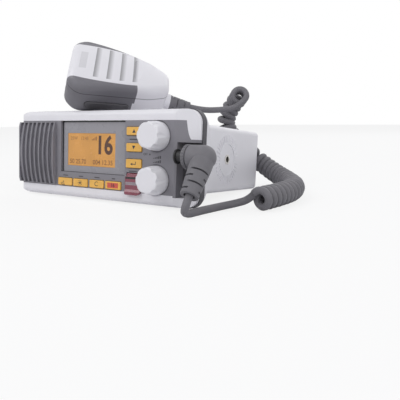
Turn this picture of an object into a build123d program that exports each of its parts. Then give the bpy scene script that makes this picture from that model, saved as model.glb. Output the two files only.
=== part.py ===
from build123d import *
import math
import os

# Marine VHF radio with its hand microphone, at rest on a table.
# Each piece is drawn in the radio's own frame, level and square to it: X to the right, Y to the
# back from the plane of the fascia, Z up from the middle of the front. The stance at the end of
# the sizes then leans the whole set back until it rests on its gasket and its rear bottom edge.

os.makedirs("parts", exist_ok=True)

# ------------------------------------------------------------------ front moulding
front_width = 185.0
front_height = 72.8
front_corner = 10.0
front_depth = 10.2
front_edge_round = 4.5
front_end_round = 3.0
ridge_x = 75.5  # the right end slopes back from here
slope_depth = 8.0  # how far back the slope ends
front_half = front_width / 2
front_top = front_height / 2

works_left = -86.0  # the opening through front, gasket and chassis that the works pass through
works_right = 73.0
works_height = 54.0
works_corner = 4.0

# ------------------------------------------------------------------ fascia panel
panel_wall = 2.2
fascia_top = 28.0
fascia_bottom = -27.7
fascia_shoulder_x = 83.0  # right edge of the grey patch at its top
fascia_flare_x = 88.0  # where it runs out into the socket corner
fascia_corner = 3.5
window_left = -41.4
window_right = 29.1
window_bottom = -15.2
window_lap = 1.0  # how far the window reaches behind the panel
window_wall = 1.8

socket_corner_x = 77.2  # left wall of the corner that the microphone plugs into
socket_corner_top = 12.0
socket_corner_bottom = -29.0

# ------------------------------------------------------------------ speaker grille
grille_right = -47.0
grille_bulge = 5.0
grille_edge = 1.6  # how far it stands forward at its top and bottom
grille_end_round = 2.5
grille_step = 1.4
grille_top = 26.6
grille_rib_pitch = 5.5
grille_rib_count = 8
grille_groove_width = 4.0
grille_groove_depth = 2.0
grille_slot_width = 1.6
grille_slot_length = 38.0
grille_wall = 2.4

# ------------------------------------------------------------------ keys
key_gap = 0.35
key_proud = 1.0
key_corner = 1.0
key_travel = 0.8
key_flange = 0.5
key_flange_thickness = 0.9
key_dome = 0.5
key_play = 0.1
low_key_top = -20.4
low_key_bottom = -26.8
low_key_edges = {
    "key_call": (-43.5, -27.2),
    "key_weather": (-25.5, -9.4),
    "key_clear": (-7.1, 8.2),
    "key_channel_16": (10.1, 26.2),
}
side_key_left = 31.0
side_key_right = 46.0
side_key_edges = {
    "key_up": (16.5, 22.8),
    "key_down": (3.9, 10.4),
    "key_enter": (-8.7, -1.8),
}

# ------------------------------------------------------------------ distress cover and button
cover_left = 31.5
cover_right = 46.4
cover_bottom = -29.6
cover_wall = 1.6
cover_gap = 0.3
cover_lip = 0.9  # the finger lip stands this much further forward
cover_slot_top = -12.3
cover_slot_bottom = -17.0
hinge_z = -13.9
hinge_y = 1.2
hinge_barrel = 1.2
hinge_pin = 0.6
hinge_fit = 0.05
hinge_bite = 1.2
distress_button_width = 9.6
distress_button_top = -18.2
distress_button_bottom = -25.6
distress_button_front = 0.5
distress_travel = 1.0

# ------------------------------------------------------------------ knobs and their controls
knob_x = 59.8
knob_heights = {"volume": 16.1, "squelch": -16.9}
knob_radius = 11.0
knob_length = 13.6
knob_skirt = 3.6
knob_lobes = 7
knob_draft = 1.0
knob_nose = 1.6
knob_flute_start = 1.6
knob_flute_spread = 13.0  # degrees
shaft_round_length = 1.9
shaft_grip = 10.4
knob_recess_radius = 12.1
knob_recess_depth = 1.0
knob_clearance = 0.5
shaft_radius = 3.0
shaft_flat = 1.0
shaft_fit = 0.05
bush_radius = 3.9
pot_size = 14.0
pot_depth = 6.5
pot_wall = 0.8
bush_front = 1.4

# ------------------------------------------------------------------ boards and display
board_front = 8.4
board_wall = 1.6
board_left = -45.0
board_right = 72.0
board_height = 53.0
mat_wall = 0.7
mat_dome_radius = 2.4
key_stem_width = 6.0
key_stem_height = 4.0
lcd_left = -35.2
lcd_right = 17.5
lcd_top = 17.75
lcd_bottom = -9.6
lcd_frame = 3.0
lcd_set_back = 0.2

# ------------------------------------------------------------------ speaker
speaker_x = -67.5
speaker_radius = 16.6
speaker_depth = 14.0
speaker_flange = 1.2
cloth_wall = 0.4
cloth_lap = 1.0
cloth_left = -84.5
cone_depth = 5.0
magnet_radius = 9.0
magnet_depth = 5.0

# ------------------------------------------------------------------ gasket and chassis
gasket_wall = 5.4
gasket_proud = 0.8
flange_inset = 1.0
flange_wall = 4.6
chassis_front = 28.0  # where the sloped shoulder has come down to the body
chassis_rear = 123.2
chassis_width = 178.2
chassis_top = 27.0
chassis_bottom = -26.6
chassis_corner = 4.0
chassis_rear_round = 2.0
chassis_wall = 2.4
cavity_front = 22.0
rear_wall = 6.0
fin_groove_width = 3.0
fin_groove_depth = 3.2
fin_groove_pitch = 6.0
fin_groove_count = 8
fin_left = 2.0
fin_end = 5.0
ratchet_radius = 20.0
ratchet_inner = 14.0
ratchet_height = 0.5
ratchet_teeth = 36
ratchet_tooth = 1.3
bracket_y = 58.8
bracket_z = 0.6
insert_radius = 4.4
insert_length = 9.0
insert_bore = 2.5
insert_boss = 8.0
insert_boss_length = 10.5
insert_proud = 0.4

screw_x = 82.0
screw_z = 31.4
screw_radius = 1.5
screw_head_radius = 2.75
screw_head = 2.4
screw_hole = 1.7
screw_bite = 6.0
screw_seat = 19.0

# ------------------------------------------------------------------ works in the chassis
main_board_front = 32.0
main_board_rear = 114.0
main_board_half = 78.0
main_board_wall = 1.6
board_post_radius = 3.5
board_post_height = 6.0
board_post_x = 70.0
board_post_front = 40.0
board_post_rear = 106.0
board_screw_length = 6.0
board_screw_radius = 1.25
board_screw_head = 2.4
board_screw_head_height = 1.6
board_post_middle = (board_post_front + board_post_rear) / 2
shield_width = 62.0
shield_depth = 44.0
shield_height = 11.0
shield_wall = 0.6
shield_x = 1.0
shield_y = 67.0
module_width = 60.0
module_height = 12.0
module_depth = 9.0
module_x = 30.0
module_z = -4.0

antenna_x = -58.0
antenna_z = 4.0
antenna_radius = 7.94
antenna_length = 13.0
antenna_bore = 2.0
antenna_flange = 12.5
antenna_flange_wall = 2.0
antenna_barrel = 5.5
antenna_barrel_length = 16.0
antenna_bore_length = 10.0
antenna_screw = 9.1
antenna_screw_radius = 1.25
antenna_screw_head = 2.2
antenna_screw_head_height = 1.4
antenna_screw_length = 6.0
gland_radius = 6.0
gland_bore = 3.0
gland_proud = 5.0
gland_lip = 2.0
gland_lip_wall = 1.5
power_gland_x = -18.0
accessory_gland_x = -36.0
gland_z = -14.0

# ------------------------------------------------------------------ microphone plug
plug_y = 0.8
plug_z = 1.6
socket_wire_y = 4.0  # the wires pass into the radio behind the fascia
socket_wire_radius = 1.6
socket_radius = 4.2
socket_end = 84.9
socket_wire_length = 7.0
contact_block_length = 5.0
contact_count = 8
contact_radius = 0.5
contact_length = 2.0
plug_fit = 0.05
ring_left = 85.3
ring_right = 88.4
ring_radius = 9.2
ring_bore = 6.2
ring_play = 0.2
ring_grip_count = 24
ring_grip = 0.5
elbow_radius = 8.9
elbow_x = 100.1
elbow_drop = 35.0  # degrees forward of straight down
relief_start = 9.5
relief_length = 22.5
relief_radius = 8.2
relief_tip = 6.6
relief_rows = 4
relief_slot = 1.3
relief_core = 4.0
relief_mouth = 1.2
relief_mouth_depth = 1.5

# ------------------------------------------------------------------ microphone
mic_length = 87.4
mic_width = 68.8
mic_head = 24.4  # half width of its top end, where the rounds begin
mic_shoulder = 9.7  # where the sides are widest, from the top end
mic_waist = 20.0  # half width where the cord end begins to close in
mic_taper_end = 17.5  # and how far that is from the cord end
mic_tail = 11.0
mic_head_round = 13.5
mic_shoulder_round = 12.0
mic_waist_round = 30.0
mic_tail_round = 9.0
mic_front_depth = 19.3
mic_rear_depth = 16.0
mic_wall = 2.6
mic_edge_round = 7.0
mic_back_round = 6.0
mic_crown = 115.0  # radius of the face's bow across the microphone
mic_crown_long = 240.0  # and along it
mic_turn = 46.2  # degrees, from the radio's width round to the back
mic_dip = 9.6  # degrees, the cord end lies lower
mic_lean = 43.0  # degrees, the face looks up
mic_x = -13.5
mic_y = 41.0
mic_gap = 0.1
mic_slot_count = 4
mic_slot_first = -19.0
mic_slot_pitch = 10.9
mic_slot_width = 6.4
mic_slot_depth = 1.3
mic_slot_slope = 9.0  # degrees, the floor of each channel rises to the cord end
mic_slot_length = 35.0
mic_slot_shorter = 2.5
mic_hole = 0.75
mic_hole_v = 2.0
grip_width = 8.0
grip_end = 12.0
grip_cut = 2.5
capsule_radius = 4.85
capsule_length = 6.7
capsule_fit = 0.05
capsule_ring = 1.3
ptt_length = 38.0
ptt_width = 6.5
ptt_proud = 1.6
ptt_travel = 1.2
ptt_gap = 0.3
ptt_flange = 0.8
ptt_flange_wall = 1.0
ptt_along = -4.0  # from the middle of the microphone's side
ptt_w = -5.0
mic_board_left = -27.0
mic_board_right = 20.0
mic_board_half = 13.0
mic_board_w = -3.0
mic_board_wall = 1.6
mic_post_radius = 2.2
mic_posts = [(-22.0, 9.0), (-22.0, -9.0), (14.0, 9.0), (14.0, -9.0)]
switch_width = 6.0
switch_height = 3.6
switch_reach = 6.6
mic_screw_places = [(-31.0, 16.0), (-31.0, -16.0), (27.0, 0.0)]
mic_screw_radius = 1.25
mic_screw_post = 3.3
mic_screw_head = 2.4
mic_screw_head_height = 1.6
mic_screw_bite = 6.0
stud_u = -8.0
stud_radius = 4.0
stud_head = 6.2
stud_neck = 3.4
stud_head_wall = 2.4
collar_radius = 7.6
collar_tip = 6.9
collar_length = 5.0
collar_root = 6.0
mic_relief_w = -7.0
mic_relief_length = 20.0
mic_relief_radius = 6.6
mic_relief_tip = 4.6
mic_relief_rows = 5

# ------------------------------------------------------------------ cord
cord_radius = 2.9
coil_radius = 9.25
cord_reach = 0.45  # share of the shorter run that a bend may take up
cord_from_plug = 7.5  # straight run out of the plug's strain relief
cord_from_mic = 14.0  # and out of the microphone's
# Places on the cord's route in the frame that the whole set rests in: Z up from the table.
plug_lead_route = [
    (97.0, -83.5, cord_radius),
    (100.4, -66.0, cord_radius),
    (105.7, -45.5, cord_radius),
    (114.0, -37.5, 4.5),
    (122.6, -33.2, 7.2),
    (128.8, -34.2, 13.4),
]
coil_route = [
    (133.0, -37.4, 9.3),
    (141.0, -6.4, 9.3),
    (140.0, 22.6, 9.3),
    (126.0, 50.6, 9.3),
    (104.0, 68.6, 15.0),
    (80.0, 75.6, 28.0),
    (58.0, 76.6, 45.0),
    (47.0, 74.6, 60.0),
    (52.0, 77.6, 76.0),
    (61.0, 77.6, 86.0),
    (68.0, 66.6, 88.5),
]
mic_lead_route = [
    (56.0, 56.5, 74.8),
    (66.7, 63.2, 77.1),
    (72.2, 68.3, 84.2),
]
seat_gap = 0.1

# ------------------------------------------------------------------ places worked out from the sizes
key_boxes = {name: (*edges, low_key_bottom, low_key_top) for name, edges in low_key_edges.items()}
for name, edges in side_key_edges.items():
    key_boxes[name] = (side_key_left, side_key_right, *edges)
button_middle = (cover_left + cover_right) / 2
button_left = button_middle - distress_button_width / 2
button_right = button_middle + distress_button_width / 2
button_box = (button_left, button_right, distress_button_bottom, distress_button_top)
pin_length = cover_right - cover_left + 2 * cover_gap + 2 * hinge_bite
mat_front = board_front - mat_wall
board_rear = board_front + board_wall
knob_rear = knob_recess_depth - knob_clearance
gasket_rear = front_depth + gasket_wall
chassis_half = chassis_width / 2
chassis_middle_z = (chassis_top + chassis_bottom) / 2
cavity_rear = chassis_rear - rear_wall
chassis_floor = chassis_bottom + chassis_wall
main_board_bottom = chassis_floor + board_post_height
main_board_top = main_board_bottom + main_board_wall

# ------------------------------------------------------------------ stance
foot_y = gasket_rear  # the gasket's rear bottom edge, on the table
foot_z = -front_top - gasket_proud
heel_y = chassis_rear - chassis_rear_round  # middle of the round along the chassis's rear bottom edge
heel_z = chassis_bottom + chassis_rear_round
heel_run = math.hypot(heel_y - foot_y, heel_z - foot_z)
lean = math.degrees(
    math.atan2(heel_z - foot_z, heel_y - foot_y) - math.asin(chassis_rear_round / heel_run)
)
leaned = Location((0, 0, 0), (-lean, 0, 0))
knob_front = knob_recess_depth - knob_clearance - knob_length
front_reach = (leaned * Location((0, knob_front, knob_heights["squelch"] - knob_radius))).position.Y
rear_end = chassis_rear + antenna_flange_wall + antenna_length
rear_reach = (leaned * Location((0, rear_end, antenna_z + antenna_radius))).position.Y
set_back = (front_reach + rear_reach) / 2  # brings the middle of the radio over the origin
foot_drop = (leaned * Location((0, foot_y, foot_z))).position.Z
stance = Location((0, -set_back, -foot_drop), (-lean, 0, 0))


# ------------------------------------------------------------------ planes and shared outlines
def across(depth):
    """Plane across the radio, this far behind the fascia; drawn as seen from the front."""
    return Plane.XZ.offset(-depth)


def along(x):
    """Plane that cuts the radio from front to back at this X; local x runs back, local y up."""
    return Plane.YZ.offset(x)


def level(z):
    """Level plane at this height."""
    return Plane.XY.offset(z)


def draw_box(left, right, low, high, corner=0.0, mode=Mode.ADD):
    """Rectangle between these edges in the sketch's own x and y, with rounded corners if asked."""
    with Locations(((left + right) / 2, (low + high) / 2)):
        if corner > 0:
            RectangleRounded(right - left, high - low, corner, mode=mode)
        else:
            Rectangle(right - left, high - low, mode=mode)


def draw_works_opening():
    """Opening that front, gasket and chassis share."""
    half = works_height / 2
    draw_box(works_left, works_right, -half, half, works_corner)


def draw_fascia():
    """Outline of the grey fascia, out past the left end and into the socket corner at the right."""
    past = front_half + 2
    shoulder = (fascia_shoulder_x, fascia_top)
    with BuildLine() as edge:
        Polyline(
            (-past, fascia_bottom),
            (-past, fascia_top),
            shoulder,
        )
        flare = Bezier(
            shoulder,
            (fascia_shoulder_x + 1.0, (fascia_top + socket_corner_top) / 2),
            (fascia_flare_x - 3.0, socket_corner_top),
            (fascia_flare_x + 2.0, socket_corner_top),
        )
        Polyline(
            flare @ 1,
            (past, socket_corner_top),
            (past, socket_corner_bottom),
            (socket_corner_x, socket_corner_bottom),
            (socket_corner_x, fascia_bottom),
            (-past, fascia_bottom),
        )
    make_face(edge.edges())


def draw_socket_corner(wall):
    """Corner for the microphone's plug, open to the right, with this much wall left of and over it."""
    draw_box(
        socket_corner_x - wall,
        front_half + 1,
        socket_corner_bottom,
        socket_corner_top + wall,
    )


def draw_front_plan(depth_in, rear):
    """Plan of the front moulding between its front surface, set in by a depth, and its rear."""
    half = front_half - depth_in
    with BuildLine() as edge:
        Polyline(
            (-half, rear),
            (-half, front_end_round),
        )
        RadiusArc(
            (-half, front_end_round),
            (-front_half + front_end_round, depth_in),
            front_end_round - depth_in,
        )
        Polyline(
            (-front_half + front_end_round, depth_in),
            (ridge_x, depth_in),
            (front_half, slope_depth + depth_in),
            (front_half, rear),
            (-half, rear),
        )
    make_face(edge.edges())


# ------------------------------------------------------------------ front bezel
# Left wall and ceiling of the corner that the microphone plugs into, as deep as the moulding.
with BuildPart() as socket_walls:
    with BuildSketch(across(front_depth)):
        draw_socket_corner(panel_wall)
    extrude(amount=front_depth)
    with BuildSketch(across(front_depth)):
        draw_socket_corner(0)
    extrude(amount=front_depth, mode=Mode.SUBTRACT)
    with BuildSketch(level(-front_top)):
        draw_front_plan(0, front_depth)
    extrude(amount=front_height, mode=Mode.INTERSECT)

# Room that the fascia panel takes: its outline, between the front surface and one wall behind it.
with BuildPart() as fascia_room:
    with BuildSketch(across(front_depth)):
        draw_fascia()
    extrude(amount=front_depth)
    with BuildSketch(level(-front_top)):
        draw_front_plan(0, front_depth)
    extrude(amount=front_height, mode=Mode.INTERSECT)
    with BuildSketch(level(-front_top)):
        draw_front_plan(panel_wall, front_depth + panel_wall + 1)
    extrude(amount=front_height, mode=Mode.SUBTRACT)

with BuildPart() as front_bezel:
    with BuildSketch(across(front_depth)):
        RectangleRounded(front_width, front_height, front_corner)
    extrude(amount=front_depth)
    with BuildSketch(along(-front_half)) as side_profile:
        draw_box(0, front_depth, -front_top, front_top)
        fillet(side_profile.vertices().group_by(Axis.X)[0], front_edge_round)
    extrude(amount=front_width, mode=Mode.INTERSECT)
    with BuildSketch(level(-front_top)):
        draw_front_plan(0, front_depth)
    extrude(amount=front_height, mode=Mode.INTERSECT)
    add(fascia_room.part, mode=Mode.SUBTRACT)
    # The opening for the works, and the window's top edge let in above it.
    with BuildSketch(across(front_depth)):
        draw_works_opening()
    extrude(amount=front_depth, mode=Mode.SUBTRACT)
    with BuildSketch(across(panel_wall + window_wall + seat_gap)):
        draw_box(
            window_left - window_lap - seat_gap,
            window_right + window_lap + seat_gap,
            0,
            fascia_top + window_lap + seat_gap,
        )
    extrude(amount=window_wall + seat_gap, mode=Mode.SUBTRACT)
    # Socket corner, cut through to the gasket.
    with BuildSketch(across(front_depth)):
        draw_socket_corner(panel_wall)
    extrude(amount=front_depth, mode=Mode.SUBTRACT)
    # Rings round the knobs and the rebate under the distress cover's lip run out into the rim.
    for height in knob_heights.values():
        with BuildSketch(across(knob_recess_depth)):
            with Locations((knob_x, height)):
                Circle(knob_recess_radius)
        extrude(amount=knob_recess_depth + 1, mode=Mode.SUBTRACT)
    # Pilot holes for the screws from the chassis.
    with BuildSketch(across(front_depth)):
        with GridLocations(2 * screw_x, 2 * screw_z, 2, 2):
            Circle(screw_radius)
    extrude(amount=screw_bite, mode=Mode.SUBTRACT)
    # Way for the microphone socket's wires.
    with Locations(Location((socket_corner_x, socket_wire_y, plug_z), (0, 90, 0))):
        Cylinder(socket_wire_radius, 4 * panel_wall, mode=Mode.SUBTRACT)
front_bezel.part.label = "front_bezel"


# ------------------------------------------------------------------ fascia panel with the grille
def draw_grille_arc(bulge, edge_rise, half_height, back):
    """Side view of the grille's bow: an arc that stands forward by bulge at mid height."""
    with BuildLine() as edge:
        ThreePointArc((-edge_rise, -half_height), (-bulge, 0), (-edge_rise, half_height))
        Polyline(
            (-edge_rise, half_height),
            (back, half_height),
            (back, -half_height),
            (-edge_rise, -half_height),
        )
    make_face(edge.edges())


def groove_places():
    """X of each groove's middle, from the right edge of the grille out to the left end."""
    first = grille_right - 1.2 - grille_groove_width / 2
    return [first - grille_rib_pitch * i for i in range(grille_rib_count)]


with BuildPart() as grille_bow:
    with BuildSketch(along(-front_half)):
        draw_grille_arc(grille_bulge, grille_edge, grille_top, panel_wall)
    extrude(amount=front_half + grille_right)
    # The bow rolls back at the left end like the front itself, and is stepped at its right end.
    with BuildSketch(level(-front_top)):
        with BuildLine():
            Polyline(
                (-front_half, front_depth),
                (-front_half, grille_end_round - grille_bulge),
            )
            RadiusArc(
                (-front_half, grille_end_round - grille_bulge),
                (-front_half + grille_end_round, -grille_bulge),
                grille_end_round,
            )
            Polyline(
                (-front_half + grille_end_round, -grille_bulge),
                (grille_right - grille_step, -grille_bulge),
                (grille_right, grille_step - grille_bulge),
                (grille_right, front_depth),
                (-front_half, front_depth),
            )
        make_face()
    extrude(amount=front_height, mode=Mode.INTERSECT)

with BuildPart() as front_panel:
    add(fascia_room.part)
    add(grille_bow.part)
    # The hollow behind the bow, where the speaker plays into it.
    with BuildSketch(along(works_left + grille_wall)):
        draw_grille_arc(grille_bulge - grille_wall, 0, grille_top - grille_wall, panel_wall + 1)
    extrude(amount=grille_right - works_left - 2 * grille_wall, mode=Mode.SUBTRACT)
    # Grooves that run out at top and bottom where the bow meets the fascia.
    for groove_x in groove_places():
        with BuildSketch(along(groove_x - grille_groove_width / 2)):
            with BuildLine():
                ThreePointArc(
                    (0.4, -grille_top + 0.4),
                    (-grille_bulge + grille_groove_depth, 0),
                    (0.4, grille_top - 0.4),
                )
                Polyline(
                    (0.4, grille_top - 0.4),
                    (-2 * grille_bulge, grille_top - 0.4),
                    (-2 * grille_bulge, -grille_top + 0.4),
                    (0.4, -grille_top + 0.4),
                )
            make_face()
        extrude(amount=grille_groove_width, mode=Mode.SUBTRACT)
    # Sound slots through the floor of each groove that has the speaker's hollow behind it.
    with BuildSketch(across(panel_wall)):
        for groove_x in groove_places():
            if groove_x > works_left + grille_wall + grille_slot_width:
                with Locations((groove_x, 0)):
                    SlotOverall(grille_slot_length, grille_slot_width, rotation=90)
    extrude(amount=2 * grille_bulge, mode=Mode.SUBTRACT)
    # Window opening, up to the panel's top edge.
    with BuildSketch(across(front_depth)):
        draw_box(window_left, window_right, window_bottom, fascia_top + 1)
    extrude(amount=2 * front_depth, mode=Mode.SUBTRACT)
    # Socket corner: its room, then the left wall and ceiling that fold back to the gasket.
    with BuildSketch(across(front_depth)):
        draw_socket_corner(0)
    extrude(amount=front_depth, mode=Mode.SUBTRACT)
    add(socket_walls.part)
    with Locations(Location((socket_corner_x, socket_wire_y, plug_z), (0, 90, 0))):
        Cylinder(socket_wire_radius, 4 * panel_wall, mode=Mode.SUBTRACT)
    # Key openings.
    with BuildSketch(across(front_depth)):
        for left, right, low, high in key_boxes.values():
            draw_box(left - key_gap, right + key_gap, low - key_gap, high + key_gap, key_corner)
        draw_box(
            button_left - key_gap,
            button_right + key_gap,
            distress_button_bottom - key_gap,
            distress_button_top + key_gap,
            key_corner,
        )
        draw_box(
            cover_left - cover_gap,
            cover_right + cover_gap,
            cover_slot_bottom,
            cover_slot_top,
        )
    extrude(amount=2 * front_depth, mode=Mode.SUBTRACT)
    # Seat for the distress cover's hinge pin, in the slot's two end walls.
    with Locations(Location(((cover_left + cover_right) / 2, hinge_y, hinge_z), (0, 90, 0))):
        Cylinder(hinge_pin, pin_length, mode=Mode.SUBTRACT)
    # Sunk ring round each knob, and the hole for its control's bush.
    for height in knob_heights.values():
        with BuildSketch(across(knob_recess_depth)):
            with Locations((knob_x, height)):
                Circle(knob_recess_radius)
        extrude(amount=knob_recess_depth, mode=Mode.SUBTRACT)
        with BuildSketch(across(panel_wall)):
            with Locations((knob_x, height)):
                Circle(bush_radius + seat_gap)
        extrude(amount=panel_wall, mode=Mode.SUBTRACT)
front_panel.part.label = "front_panel"

# ------------------------------------------------------------------ display
with BuildPart() as display_window:
    with BuildSketch(across(panel_wall + window_wall)):
        draw_box(
            window_left - window_lap,
            window_right + window_lap,
            window_bottom - window_lap,
            fascia_top + window_lap,
        )
        draw_box(lcd_left, lcd_right, lcd_bottom, lcd_top, mode=Mode.SUBTRACT)
    extrude(amount=window_wall)
display_window.part.label = "display_window"

with BuildPart() as lcd_module:
    with BuildSketch(across(board_front)):
        draw_box(
            lcd_left - lcd_frame,
            lcd_right + lcd_frame,
            lcd_bottom - lcd_frame,
            lcd_top + lcd_frame,
            key_corner,
        )
    extrude(amount=board_front - panel_wall - window_wall)
    with BuildSketch(across(panel_wall + window_wall)):
        draw_box(
            lcd_left + seat_gap,
            lcd_right - seat_gap,
            lcd_bottom + seat_gap,
            lcd_top - seat_gap,
        )
    extrude(amount=window_wall - lcd_set_back)
lcd_module.part.label = "lcd_module"


# ------------------------------------------------------------------ keys and the distress button
def make_key(name, left, right, low, high, front, travel):
    """Key cap that shows through the panel, with side wings that hold it in and a stem behind."""
    wing_front = panel_wall + key_play
    stem_rear = mat_front - key_dome - travel - key_play
    middle = ((left + right) / 2, (low + high) / 2)
    with BuildPart() as key:
        with BuildSketch(across(wing_front)):
            draw_box(left, right, low, high, key_corner)
        extrude(amount=wing_front - front)
        fillet(key.faces().sort_by(Axis.Y)[0].edges(), key_corner / 2)
        with BuildSketch(across(wing_front)):
            draw_box(left - key_flange, right + key_flange, low + key_gap, high - key_gap)
        extrude(amount=-key_flange_thickness)
        with BuildSketch(across(wing_front)):
            with Locations(middle):
                Rectangle(key_stem_width, key_stem_height)
        extrude(amount=wing_front - stem_rear)
    key.part.label = name
    return key.part


keys = {
    name: make_key(name, *box, -key_proud, key_travel) for name, box in key_boxes.items()
}
distress_button = make_key(
    "distress_button",
    button_left,
    button_right,
    distress_button_bottom,
    distress_button_top,
    distress_button_front,
    distress_travel,
)

with BuildPart() as keypad_mat:
    with BuildSketch(across(board_front)):
        draw_box(
            low_key_edges["key_call"][0],
            side_key_right,
            low_key_bottom + key_gap,
            low_key_top,
        )
        draw_box(
            side_key_left,
            side_key_right,
            low_key_bottom + key_gap,
            side_key_edges["key_up"][1],
        )
    extrude(amount=mat_wall)
    with BuildSketch(across(mat_front)):
        for left, right, low, high in [*key_boxes.values(), button_box]:
            with Locations(((left + right) / 2, (low + high) / 2)):
                Circle(mat_dome_radius)
    extrude(amount=key_dome)
keypad_mat.part.label = "keypad_mat"

# ------------------------------------------------------------------ distress cover
with BuildPart() as distress_cover:
    front = -cover_gap - cover_wall
    with BuildSketch(along(cover_left)):
        with Locations((hinge_y, hinge_z)):
            Circle(hinge_barrel)
        with BuildLine():
            Polyline(
                (hinge_y - hinge_barrel + 0.1, hinge_z - 0.3),
                (-cover_gap, hinge_z - cover_wall),
                (front, hinge_z - cover_wall),
                (front, cover_bottom + 4.2),
                (front - cover_lip, cover_bottom + 2.2),
                (front - cover_lip, cover_bottom),
                (-cover_gap, cover_bottom),
                (-cover_gap, hinge_z - 2.8),
                (hinge_y - 0.6, hinge_z - 2.8),
                (hinge_y + hinge_barrel - 0.2, hinge_z - 0.3),
                close=True,
            )
        make_face()
    extrude(amount=cover_right - cover_left)
    with BuildSketch(across(hinge_y + 2 * hinge_barrel)) as cover_outline:
        draw_box(cover_left, cover_right, cover_bottom, hinge_z + 2 * hinge_barrel)
        low_corners = cover_outline.vertices().group_by(Axis.Y)[0].sort_by(Axis.X)
        fillet(low_corners[0], 1.2)
        fillet(cover_outline.vertices().group_by(Axis.Y)[0].sort_by(Axis.X)[-1], 3.6)
    extrude(amount=6 * cover_wall, mode=Mode.INTERSECT)
    with Locations(Location(((cover_left + cover_right) / 2, hinge_y, hinge_z), (0, 90, 0))):
        Cylinder(hinge_pin + hinge_fit, pin_length, mode=Mode.SUBTRACT)
distress_cover.part.label = "distress_cover"

with BuildPart() as distress_hinge_pin:
    with Locations(Location(((cover_left + cover_right) / 2, hinge_y, hinge_z), (0, 90, 0))):
        Cylinder(hinge_pin, pin_length)
distress_hinge_pin.part.label = "distress_hinge_pin"


# ------------------------------------------------------------------ knobs and controls
def draw_shaft(flat):
    """Section of a control's shaft, round or with its flat."""
    Circle(shaft_radius)
    if flat:
        with Locations((0, shaft_radius)):
            Rectangle(2 * shaft_radius, 2 * shaft_flat, mode=Mode.SUBTRACT)


def make_knob(name, height):
    """Knob with a round skirt and a fluted grip that narrows to the front."""
    skirt_front = knob_rear - knob_skirt
    with BuildPart() as knob:
        with BuildSketch(level(height)):
            with BuildLine():
                Polyline(
                    (knob_x, knob_front),
                    (knob_x, knob_rear),
                    (knob_x + knob_radius, knob_rear),
                    (knob_x + knob_radius, skirt_front),
                    (knob_x + knob_radius - knob_draft, knob_front + knob_nose),
                )
                RadiusArc(
                    (knob_x + knob_radius - knob_draft, knob_front + knob_nose),
                    (knob_x + knob_radius - knob_draft - knob_nose, knob_front),
                    knob_nose,
                )
                Line((knob_x + knob_radius - knob_draft - knob_nose, knob_front), (knob_x, knob_front))
            make_face()
        revolve(axis=Axis((knob_x, 0, height), (0, 1, 0)))
        # Flutes start at nothing on the skirt and widen to the front.
        with BuildSketch(Plane(origin=(knob_x, skirt_front, height), x_dir=(1, 0, 0), z_dir=(0, -1, 0))):
            with PolarLocations(knob_radius + knob_flute_start, knob_lobes):
                Circle(knob_flute_start)
        extrude(amount=knob_length, taper=-knob_flute_spread, mode=Mode.SUBTRACT)
        with BuildSketch(across(knob_rear)):
            with Locations((knob_x, height)):
                draw_shaft(False)
        extrude(amount=shaft_round_length, mode=Mode.SUBTRACT)
        with BuildSketch(across(knob_rear)):
            with Locations((knob_x, height)):
                draw_shaft(True)
        extrude(amount=shaft_grip, mode=Mode.SUBTRACT)
    knob.part.label = name
    return knob.part


def make_control(name, height):
    """Rotary control: its case behind the front board, and the bush that its shaft turns in."""
    with BuildPart() as control:
        with BuildSketch(across(board_rear + pot_depth)):
            with Locations((knob_x, height)):
                Rectangle(pot_size, pot_size)
        extrude(amount=pot_depth)
        with BuildSketch(across(board_rear)):
            with Locations((knob_x, height)):
                Circle(bush_radius)
        extrude(amount=board_rear - bush_front)
        with BuildSketch(across(board_rear + pot_depth - pot_wall)):
            with Locations((knob_x, height)):
                Circle(shaft_radius + shaft_fit)
        extrude(amount=board_rear + pot_depth, mode=Mode.SUBTRACT)
    control.part.label = name
    return control.part


def make_shaft(name, height):
    """Control shaft, round in its bush and flatted where the knob grips it."""
    shaft_rear = board_rear + pot_depth - pot_wall - seat_gap
    with BuildPart() as shaft:
        with BuildSketch(across(shaft_rear)):
            with Locations((knob_x, height)):
                draw_shaft(False)
        extrude(amount=shaft_rear - knob_rear + shaft_round_length)
        with BuildSketch(across(knob_rear)):
            with Locations((knob_x, height)):
                draw_shaft(True)
        extrude(amount=shaft_grip - seat_gap)
    shaft.part.label = name
    return shaft.part


knobs = {name: make_knob(f"{name}_knob", z) for name, z in knob_heights.items()}
controls = {name: make_control(f"{name}_pot", z) for name, z in knob_heights.items()}
shafts = {name: make_shaft(f"{name}_shaft", z) for name, z in knob_heights.items()}

# ------------------------------------------------------------------ front board, speaker
with BuildPart() as front_board:
    with BuildSketch(across(board_rear)):
        draw_box(board_left, board_right, -board_height / 2, board_height / 2, 2 * key_corner)
        for height in knob_heights.values():
            with Locations((knob_x, height)):
                Circle(bush_radius + seat_gap, mode=Mode.SUBTRACT)
    extrude(amount=board_wall)
front_board.part.label = "front_board"

with BuildPart() as speaker_cloth:
    with BuildSketch(across(panel_wall + cloth_wall)):
        draw_box(
            cloth_left,
            grille_right - grille_wall + cloth_lap,
            -grille_top + grille_wall - cloth_lap,
            grille_top - grille_wall + cloth_lap,
        )
    extrude(amount=cloth_wall)
speaker_cloth.part.label = "speaker_cloth"

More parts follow.
